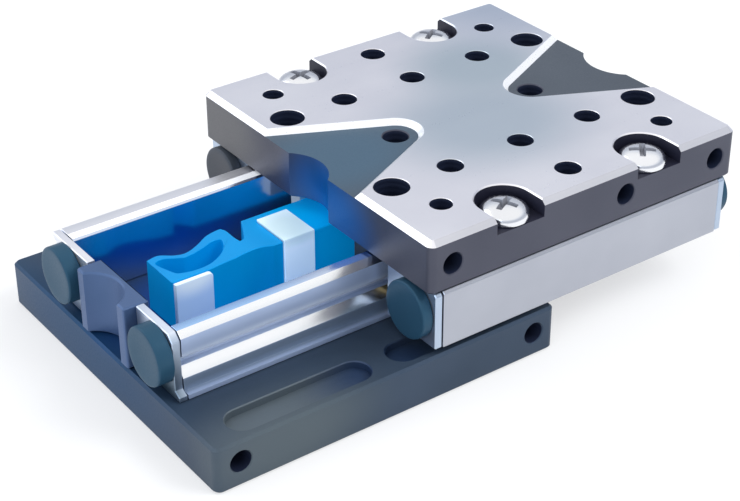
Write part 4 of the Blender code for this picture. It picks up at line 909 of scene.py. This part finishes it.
DRIVE_BLUE = metal_finish(
    "drive_blue",
    ((0.000, 0.190, 0.470), (0.000, 0.228, 0.520)),
    0.30,
    (0.30, 0.42),
    bump=8e-7,
    # Painted light: the part under the carriage is painted a brighter blue where the carriage
    # shades it, and the glow makes the drive give off blue light though it is no lamp.
    patches=(((3.5, 0.8, 4.5), (5.0, 4.0, 5.0), (0.000, 0.480, 1.000)),),
    specular=0.2,
    glow=((0.000, 0.220, 0.560), 0.42),
)
STRAP_WHITE = metal_finish(
    "strap_white",
    ((0.80, 0.90, 0.98), (0.86, 0.94, 1.00)),
    0.0,
    (0.30, 0.40),
    bump=5e-7,
    # Painted shade and glow: the strap's top is painted darker and greener than its side, and
    # the glow makes it give off light though it is no lamp.
    patches=(((0.9, 0.2, 6.0), (2.6, 3.0, 0.9), (0.46, 0.54, 0.48)),),
    glow=((0.40, 0.65, 1.00), 0.42),
)
PLATE_BLUE = metal_finish(
    "side_plate_blue",
    ((0.36, 0.54, 0.84), (0.40, 0.58, 0.88)),
    0.0,
    (0.30, 0.40),
    bump=5e-7,
    # Painted highlight and glow: the side plate's top front is painted near white, and the glow
    # makes it give off light though it is no lamp.
    patches=(((-6.0, -1.0, 6.0), (2.4, 1.0, 1.6), (0.76, 0.88, 0.98)),),
    glow=((0.30, 0.50, 0.90), 0.08),
)
DRIVE_TOP = 5.85
DRIVE_BACK = 6.40
NEAR = -0.80
FRONT = -7.12
SPLIT = 0.72
ROOT = SPLIT - 0.08  # the arm starts a little inside the body that it is cut from
SHY = 0.004
SIDE_PLATE_END, SIDE_PLATE_TOP, SIDE_PLATE_OUT = -4.78, 5.81, 0.31
STRAP_REACH, STRAP_OUT, STRAP_LOW = 1.85, 0.17, SEAT + 0.10
STRAP_ALONG = (-0.10, 1.90)


def through(points, steps=10):
    """Smooth curve through points: each span is a cubic set by its four nearest points."""
    p = np.asarray(points, float)
    p = np.concatenate([p[:1], p, p[-1:]])
    a, b, c, d = (p[k : len(p) - 3 + k, None] for k in range(4))
    t = np.linspace(0, 1, steps, endpoint=False)[None, :, None]
    square, cube = 2 * a - 5 * b + 4 * c - d, 3 * b - a - 3 * c + d
    line = 0.5 * (2 * b + (c - a) * t + square * t**2 + cube * t**3)
    return np.concatenate([line.reshape(-1, 2), p[-1:]])


waist = through(
    [
        (-4.62, NEAR), (-3.83, -0.70), (-3.08, -0.65), (-2.24, -0.52), (-1.41, -0.52),
        (-0.68, NEAR),
    ]
)
step_side = through([(-0.74, 2.50), (-0.94, 2.07), (-1.20, 1.55), (-1.59, 0.88), (-1.92, SPLIT)])
pocket = through(
    [
        (-3.02, SPLIT), (-3.31, 0.37), (-3.91, -0.06), (-4.68, -0.36), (-5.56, -0.39),
        (-6.29, -0.19), (-6.50, 0.02), (-6.74, SPLIT),
    ]
)
line = np.concatenate(
    [
        [(FRONT, NEAR + 0.12), (FRONT + 0.03, NEAR + 0.03), (FRONT + 0.12, NEAR)],
        waist,
        [(DRIVE_BACK, NEAR), (DRIVE_BACK, 2.50)],
        step_side,
        pocket,
        [(FRONT, SPLIT)],
    ]
)
body = made("drive_body_eroded", bar(line, SEAT, DRIVE_TOP, 0.05, "Z"), [DRIVE_BLUE])
dressed(body, "base", "drive_body")

outer = through(
    [
        (-1.92, ROOT), (-1.99, 1.21), (-1.98, 2.02), (-2.06, 2.28), (-2.25, 2.45),
        (-3.16, 2.27), (-4.08, 1.74), (-4.96, 1.40), (-5.61, 1.53), (-6.36, 2.03),
        (FRONT + SHY, 1.93),
    ]
)
inner = through(
    [
        (-6.74, ROOT), (-6.90, 1.27), (-6.72, 1.52), (-6.31, 1.56), (-5.58, 1.17),
        (-5.19, 1.02), (-4.43, 1.15), (-3.71, 1.37), (-3.27, 1.54), (-2.91, 1.56),
        (-2.69, 1.42), (-2.86, 0.93), (-3.02, ROOT),
    ]
)
line = np.concatenate([outer, [(FRONT + SHY, ROOT)], inner])
solid = bar(line, SEAT + SHY, DRIVE_TOP - SHY, 0.03, "Z")
arm = made("drive_flexure_eroded", solid, [DRIVE_BLUE])
dressed(arm, "base", "drive_flexure")

corners = [
    (FRONT, SEAT),
    (SIDE_PLATE_END, SEAT),
    (SIDE_PLATE_END, SIDE_PLATE_TOP),
    (FRONT, SIDE_PLATE_TOP),
]
line = rounded(corners, [0.04, 0.30, 0.30, 0.04], 9)
solid = bar(line, NEAR - SIDE_PLATE_OUT, NEAR - SEAT_GAP, 0.04, "Y")
plate = made("drive_side_plate_bonded", solid, [PLATE_BLUE])
dressed(plate, "base", "drive_side_plate")

corners = [
    (STRAP_REACH, DRIVE_TOP + SEAT_GAP),
    (STRAP_REACH, DRIVE_TOP + STRAP_OUT),
    (NEAR - STRAP_OUT, DRIVE_TOP + STRAP_OUT),
    (NEAR - STRAP_OUT, STRAP_LOW),
    (NEAR - SEAT_GAP, STRAP_LOW),
    (NEAR - SEAT_GAP, DRIVE_TOP + SEAT_GAP),
]
line = rounded(corners, [0.02, 0.03, 0.08, 0.03, 0.02, 0.02])
strap = made("drive_strap_bonded", bar(line, *STRAP_ALONG, 0.02, "X"), [STRAP_WHITE])
dressed(strap, "base", "drive_strap")

# Top plate
# The carriage's plate, anodised dark and then milled bright on its top face and edges,
# so that the recesses, holes and sides stay dark. Its holes and screw pockets are
# painted darker still, and its near long chamfer duller, as painted shade.

MILLED = metal_finish(
    "milled_aluminium",
    ((0.87, 0.86, 0.91), (0.93, 0.92, 0.96)),
    1.0,
    (0.26, 0.36),
    grain=7000.0,
    stretch=(0.05, 1.0, 1.0),
    bump=5e-7,
    hair=0.5,
    # Painted sheen: the milled top face is painted darker across its middle and towards its far
    # rear corner.
    patches=(
        ((13.0, -2.0, 9.8), (8.8, 7.6, 6.0), (0.57, 0.64, 0.71)),
        ((17.4, 4.0, 9.8), (6.6, 6.0, 6.0), (0.55, 0.63, 0.69)),
        ((26.0, 12.0, 9.8), (12.0, 12.0, 4.0), (0.57, 0.63, 0.74)),
    ),
)
TOP_DARK = metal_finish(
    "top_plate_anodised",
    ((0.058, 0.062, 0.088), (0.070, 0.074, 0.102)),
    0.45,
    (0.34, 0.46),
    bump=8e-7,
    # Painted blue light: the front face around the notch and its underside are painted blue as
    # if lit by the glowing drive. The grey patch makes the far end of the front face lighter.
    patches=(
        ((2.2, 9.0, 8.4), (1.6, 5.5, 4.0), (0.115, 0.115, 0.122)),
        ((2.9, -1.8, 7.6), (3.4, 5.6, 4.2), (0.000, 0.105, 0.350)),
    ),
    specular=0.4,
)
RECESS_FLOOR = metal_finish(
    "recess_floor",
    ((0.062, 0.078, 0.102), (0.072, 0.090, 0.116)),
    0.45,
    (0.34, 0.46),
    bump=8e-7,
    # Painted blue light: the front recess's floor is painted blue as if lit by the glowing
    # drive.
    patches=(((4.0, 0.0, 9.5), (8.0, 6.0, 3.0), (0.058, 0.115, 0.175)),),
)
# Painted shade: a greyer, rougher copy of the milled finish for the near long chamfer, so that
# it looks duller than the other chamfers.
NEAR_EDGE_PAINTED_SHADE = metal_finish(
    "near_edge_painted_shade",
    ((0.72, 0.72, 0.76), (0.76, 0.76, 0.80)),
    1.0,
    (0.36, 0.46),
    stretch=(0.05, 1, 1),
    bump=4e-7,
)
# Painted shade: the screw pockets' walls are near black, darker than the anodised plate.
POCKET_DARK = metal_finish(
    "pocket_wall",
    ((0.016, 0.017, 0.034), (0.022, 0.023, 0.042)),
    0.3,
    (0.34, 0.46),
    bump=8e-7,
    specular=0.3,
)
RECESS_EDGE = metal_finish(
    "recess_edge",
    ((0.86, 0.88, 0.91), (0.90, 0.91, 0.94)),
    0.4,
    (0.26, 0.34),
    stretch=(0.05, 1, 1),
    bump=8e-8,
)
AHEAD = 13.2
UNDERSIDE = 6.65
HEIGHT = 9.8
EDGE = 0.30
NOTCH = 2.55
NOTCH_IN = 0.85
RECESS = 0.32
NOSE = (5.0, 1.30)
MOUTH = 4.35
SMALL, MEDIUM, LARGE = 1.25, 1.5, 2.0
TAPPED_DEPTH, TAPPED_RIM = 2.5, 0.03
RECESS_TAPPED = (MEDIUM, 2.2, 0.06)
TOP_SIDE_HOLES = ((-9.5, 2.6, 9.5), 8.15)
SCREWS = (5.0, 9.6)
SCREW_POCKET = (1.62, 8.82)
POCKET_OUT, POCKET_RIM = 2.0, 0.07
SHANK_HOLE = 1.3
SCALE_ROOM = 0.06


def recess_cutter(side):
    """One half of the bow-tie: a round nose, tangents to a wide mouth, walls at 45 degrees."""
    away = np.array([HALF - NOSE[0], MOUTH])
    slope = np.arctan2(away[1], away[0]) - np.arcsin(NOSE[1] / np.linalg.norm(away))
    normal = np.array([-np.sin(slope), np.cos(slope)])
    along = np.array([np.cos(slope), np.sin(slope)])
    rings = []
    for grow, z in ((0.0, HEIGHT - RECESS), (RECESS + OVER, HEIGHT + OVER)):
        corner = np.array([HALF, MOUTH]) + normal * grow + along * 1.2
        start = np.arctan2(normal[1], normal[0])
        nose = arc(NOSE[0], 0.0, NOSE[1] + grow, start, 2 * pi - start, 61)
        line = np.concatenate([[corner], nose, [corner * (1, -1)]])
        if side < 0:
            line = (line * (-1, 1))[::-1]
        rings.append(np.column_stack([line[:, 0] + AHEAD, line[:, 1], np.full(len(line), z)]))
    return ring_solid(rings, (1,), (0, 1))


def pocket_cutter(x_sign, y_sign):
    """U-shaped screw pocket that opens at the plate's side, with a bright broken rim."""
    radius, floor_z = SCREW_POCKET
    x, y = AHEAD + x_sign * SCREWS[0], y_sign * SCREWS[1]
    rings = []
    rim = POCKET_RIM
    for grow, z in ((0.0, floor_z), (0.0, HEIGHT - rim), (rim + OVER, HEIGHT + OVER)):
        r = radius + grow
        start = pi if y_sign > 0 else 0
        out = y + y_sign * POCKET_OUT
        ends = [(x + y_sign * r, out), (x - y_sign * r, out)]
        line = np.concatenate([arc(x, y, r, start, start + pi, 49), ends])
        rings.append(np.column_stack([line, np.full(len(line), z)]))
    return ring_solid(rings, (0, 1), (0, 1))


levels = (
    (BREAK, UNDERSIDE),
    (0.0, UNDERSIDE + BREAK),
    (0.0, HEIGHT - EDGE),
    (EDGE, HEIGHT),
)
points, faces, skins = ring_solid(
    [plate_ring(inset, z, AHEAD, True) for inset, z in levels], (0, 0, 1), (0, 1)
)
middle = points[np.array(faces[:-2])].mean(1)
# The near long chamfer takes the painted shade copy of the milled finish.
near_edge = (middle[:, 2] > HEIGHT - EDGE) & (middle[:, 1] < EDGE / 2 - HALF + CLOSE)
skins = [*np.where(near_edge, 2, skins[:-2]).tolist(), *skins[-2:]]
top = made("top_plate_finished", (points, faces, skins), [TOP_DARK, MILLED, NEAR_EDGE_PAINTED_SHADE])
places = [
    (x * dx, y * dy, size)
    for x, y in SIGNS
    for dx, dy, size in ((8, 8, SMALL), (9, 5, LARGE), (5, 5, MEDIUM))
]
places += [(0, sign * dy, MEDIUM) for sign in (-1, 1) for dy in (5, 9)]
top_holes = [
    hole((AHEAD + x, y, HEIGHT), (0, 0, 1), size, TAPPED_DEPTH, TAPPED_RIM)
    for x, y, size in places
]
recess_holes = [
    hole((AHEAD + x, 0, HEIGHT - RECESS), (0, 0, 1), *RECESS_TAPPED) for x in (-5, 5)
]
side_holes = [
    hole((AHEAD + x, y * HALF, TOP_SIDE_HOLES[1]), (0, y, 0), *SIDE_TAPPED)
    for x in TOP_SIDE_HOLES[0]
    for y in (-1, 1)
]
shank_holes = [
    through_hole(
        (AHEAD + x * SCREWS[0], y * SCREWS[1]), SHANK_HOLE, UNDERSIDE, SCREW_POCKET[1], "Z"
    )
    for x, y in SIGNS
]
low, high = room("encoder_scale")
x0, y0 = low[:2] - SCALE_ROOM
x1, y1 = high[:2] + SCALE_ROOM
line = np.array([(x0, y0), (x1, y0), (x1, y1), (x0, y1)])
scale_groove = bar(line, UNDERSIDE - 2 * BEYOND, high[2] + SCALE_ROOM, 0.0, "Z")
carved(
    top,
    (recess_cutter(1), [RECESS_FLOOR, RECESS_EDGE]),
    (recess_cutter(-1), [RECESS_FLOOR, RECESS_EDGE]),
    (joined([pocket_cutter(x, y) for x, y in SIGNS]), [POCKET_DARK, MILLED]),
    (joined(shank_holes), [TOP_DARK]),
    (joined(top_holes), [HOLE_DARK, MILLED]),
    (joined(recess_holes + side_holes), [HOLE_DARK, TOP_DARK]),
    (scale_groove, [TOP_DARK]),
)
dressed(top, "carriage", "top_plate")

# Moving guide rails and their end plates
# Ground steel bars under the long sides of the top plate, with the facing V groove on
# their inner sides. Their outer faces are satin and flush with the plate.

RAIL_SATIN = metal_finish(
    "rail_satin",
    ((0.42, 0.44, 0.50), (0.47, 0.49, 0.55)),
    0.95,
    (0.27, 0.36),
    stretch=(0.05, 1.0, 1.0),
    bump=6e-7,
    hair=0.7,
)
RAIL_HALF = 10.05
RAIL_LOW = 3.10
LAND_OUT = 6.66
RAIL_BREAK, RAIL_FOOT_BREAK = 0.16, 0.08
END_HOLE = (9.1, 4.95)
rail_top = UNDERSIDE - SEAT_GAP
corners = [
    (LAND_OUT, RAIL_LOW),
    *groove(LAND_OUT, -1),
    (LAND_OUT, rail_top),
    (HALF - RAIL_BREAK, rail_top),
    (HALF, rail_top - RAIL_BREAK),
    (HALF, RAIL_LOW + RAIL_FOOT_BREAK),
    (HALF - RAIL_FOOT_BREAK, RAIL_LOW),
]
sizes = [0.03, 0.03, 0.01, 0.01, 0.01, 0.01, 0.03, 0.03, 0.03, 0.03, 0.02, 0.02]
for side, label in SIDES:
    line = rounded(mirrored(corners, side), sizes, 4)
    rail = made(
        f"carriage_rail_{label}_ground",
        bar(line, AHEAD - RAIL_HALF, AHEAD + RAIL_HALF, 0.04, "X"),
        [RAIL_SATIN],
    )
    dressed(rail, "carriage", f"carriage_rail_{label}")
    for end, end_name in ENDS:
        node = f"carriage_end_plate_{end_name}_{label}"
        low, high = room(node)
        y0, y1 = sorted((low[1], high[1]), key=abs)
        z0, z1 = low[2], high[2]
        bend = [(y1, z1 - RAIL_BREAK), (y1 - side * RAIL_BREAK, z1)]
        line = rounded([(y0, z0), (y1, z0), *bend, (y0, z1)], [0.05, 0.08, 0.06, 0.06, 0.05])
        plate = made(node + "_satin", bar(line, low[0], high[0], 0.05, "X"), [SATIN_STEEL])
        where = (side * END_HOLE[0], END_HOLE[1])
        carved(plate, (through_hole(where, SHANK_HOLE, low[0], high[0]), [SATIN_STEEL]))
        dressed(plate, "carriage", node)

# Top screws
# Stainless pan-head screws with a cross recess, one in each pocket of the top plate.
# Their shanks go through the plate into the moving rails below.

STAINLESS = metal_finish(
    "stainless",
    ((0.82, 0.83, 0.86), (0.88, 0.89, 0.92)),
    1.0,
    (0.16, 0.26),
    grain=12000.0,
    bump=4e-7,
)
# Painted shade: the cross recess is painted a darker grey than the stainless head around it.
RECESS_DARK = metal_finish(
    "cross_recess", ((0.30, 0.31, 0.35), (0.38, 0.39, 0.43)), 0.45, (0.34, 0.44), bump=4e-7
)
CROSS_TURN = {"left_front": 12, "left_rear": 33, "right_front": 27, "right_rear": 49}
PAN = {"radius": 1.39, "height": 0.75, "flat": 0.35, "dome": 0.62, "power": 2.8}
PAN_SHANK, PAN_LENGTH = 0.55, 4.4
CROSS = ((0.60, 0.09, -0.44), (0.72, 0.14, -0.16), (0.80, 0.19, 0.03), (0.80, 0.19, 0.30))
HEAD_TOP = HEIGHT - 0.18


def pan_head(at):
    """Pan head: a dome that is flat on top and rounds off at its shoulder, and its shank.

    The dome falls by its height times one less the root of one less the share of the
    radius raised to its power.
    """
    radius, height, flat = PAN["radius"], PAN["height"], PAN["flat"]
    dome_r = flat + (radius - flat) * np.sin(np.linspace(0, 1, 16) * pi / 2)
    share = np.clip(1 - (dome_r / radius) ** PAN["power"], 0, 1)
    dome_z = -PAN["dome"] * (1 - np.sqrt(share))
    foot = -height - PAN_LENGTH
    tail = [
        (radius, -height),
        (PAN_SHANK, -height),
        (PAN_SHANK, foot + BREAK),
        (PAN_SHANK - BREAK, foot),
    ]
    profile = np.concatenate([[(POINT, 0.0)], np.column_stack([dome_r, dome_z]), tail])
    return ring_solid(turned_rings(profile[::-1], at, (0, 0, 1), 72))


def cross_cutter(at, degrees):
    """Tapered cross: wide at its mouth, narrow at its foot, with rounded corners.

    Each ring is a cross of its own arm length and half width, turned about the axis.
    """
    turns = np.radians(degrees) + np.arange(4) * pi / 2
    spin = np.stack([np.cos(turns), -np.sin(turns), np.sin(turns), np.cos(turns)], -1)
    spin = spin.reshape(4, 2, 2)
    rings = []
    for arm, half, z in CROSS:
        quarter = np.array([(half, -half), (arm, -half), (arm, half)])
        corners = np.einsum("kij,nj->kni", spin, quarter).reshape(-1, 2)
        line = rounded(corners, [0.05, 0.04, 0.04] * 4, 4)
        rings.append(np.column_stack([line + at[:2], np.full(len(line), at[2] + z)]))
    return ring_solid(rings)


for side, label in SIDES:
    for end, end_name in ENDS:
        at = np.array([AHEAD + end * SCREWS[0], side * SCREWS[1], HEAD_TOP])
        node = f"top_screw_{label}_{end_name}"
        screw = made(node + "_pan", pan_head(at), [STAINLESS])
        turned = CROSS_TURN[f"{label}_{end_name}"]
        carved(screw, (cross_cutter(at, turned), [RECESS_DARK]))
        dressed(screw, "carriage", node)

# Inner pieces
# Rollers, cages, drive ceramics, encoder and the screws under the base keep their
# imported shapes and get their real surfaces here.

ROLLER = metal_finish(
    "roller_steel", ((0.80, 0.81, 0.83), (0.86, 0.87, 0.89)), 1.0, (0.08, 0.16), bump=2e-7
)
BRASS = metal_finish(
    "cage_brass",
    ((0.62, 0.45, 0.18), (0.72, 0.54, 0.24)),
    1.0,
    (0.28, 0.42),
    stretch=(0.05, 1, 1),
    hair=0.6,
)
CERAMIC = metal_finish(
    "ceramic", ((0.78, 0.77, 0.72), (0.84, 0.83, 0.78)), 0.0, (0.28, 0.40), bump=6e-7
)
STACK = metal_finish(
    "piezo_ceramic", ((0.50, 0.40, 0.27), (0.58, 0.47, 0.33)), 0.0, (0.5, 0.6), bump=1e-6
)
UNDER_SCREW = metal_finish(
    "under_screw", ((0.16, 0.165, 0.18), (0.22, 0.225, 0.24)), 1.0, (0.28, 0.4)
)
CHIP = metal_finish(
    "chip_black", ((0.018, 0.018, 0.022), (0.028, 0.028, 0.032)), 0.0, (0.35, 0.5)
)
BOARD = metal_finish(
    "board_green", ((0.008, 0.13, 0.06), (0.012, 0.17, 0.08)), 0.0, (0.3, 0.42)
)
SCALE_PITCH = 0.2


def graduated():
    """Scale tape: fine dark lines across the travel, from a wave along X."""
    material, tree, shader = new_material("scale_lines", 0.9, 0.22)
    nodes, links = tree.nodes, tree.links
    place = nodes.new("ShaderNodeTexCoord")
    wave = nodes.new("ShaderNodeTexWave")
    wave.inputs["Scale"].default_value = 1.0 / (SCALE_PITCH * MM) / WAVES
    mix = nodes.new("ShaderNodeMix")
    mix.data_type = "RGBA"
    mix.inputs[COLOUR_A].default_value = (0.70, 0.56, 0.28, 1.0)
    mix.inputs[COLOUR_B].default_value = (0.16, 0.12, 0.06, 1.0)
    edge = nodes.new("ShaderNodeMapRange")
    edge.inputs["From Min"].default_value = 0.45
    edge.inputs["From Max"].default_value = 0.55
    links.new(place.outputs["Object"], wave.inputs["Vector"])
    links.new(wave.outputs["Fac"], edge.inputs["Value"])
    links.new(edge.outputs[0], mix.inputs[0])
    links.new(mix.outputs[COLOUR_OUT], shader.inputs["Base Color"])
    return material


finishes = {
    "roller_cage": BRASS,
    "roller": ROLLER,
    "piezo_stack": STACK,
    "friction_tip": CERAMIC,
    "runner_bar": CERAMIC,
    "encoder_scale": graduated(),
    "encoder_head": CHIP,
    "encoder_board": BOARD,
    "guide_rail_screw": UNDER_SCREW,
    "drive_screw": UNDER_SCREW,
    "guide_end_screw": STAINLESS,
}
for node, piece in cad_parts.items():
    for beginning, finish in finishes.items():
        if node.startswith(beginning):
            piece.data.materials.clear()
            piece.data.materials.append(finish)
            break
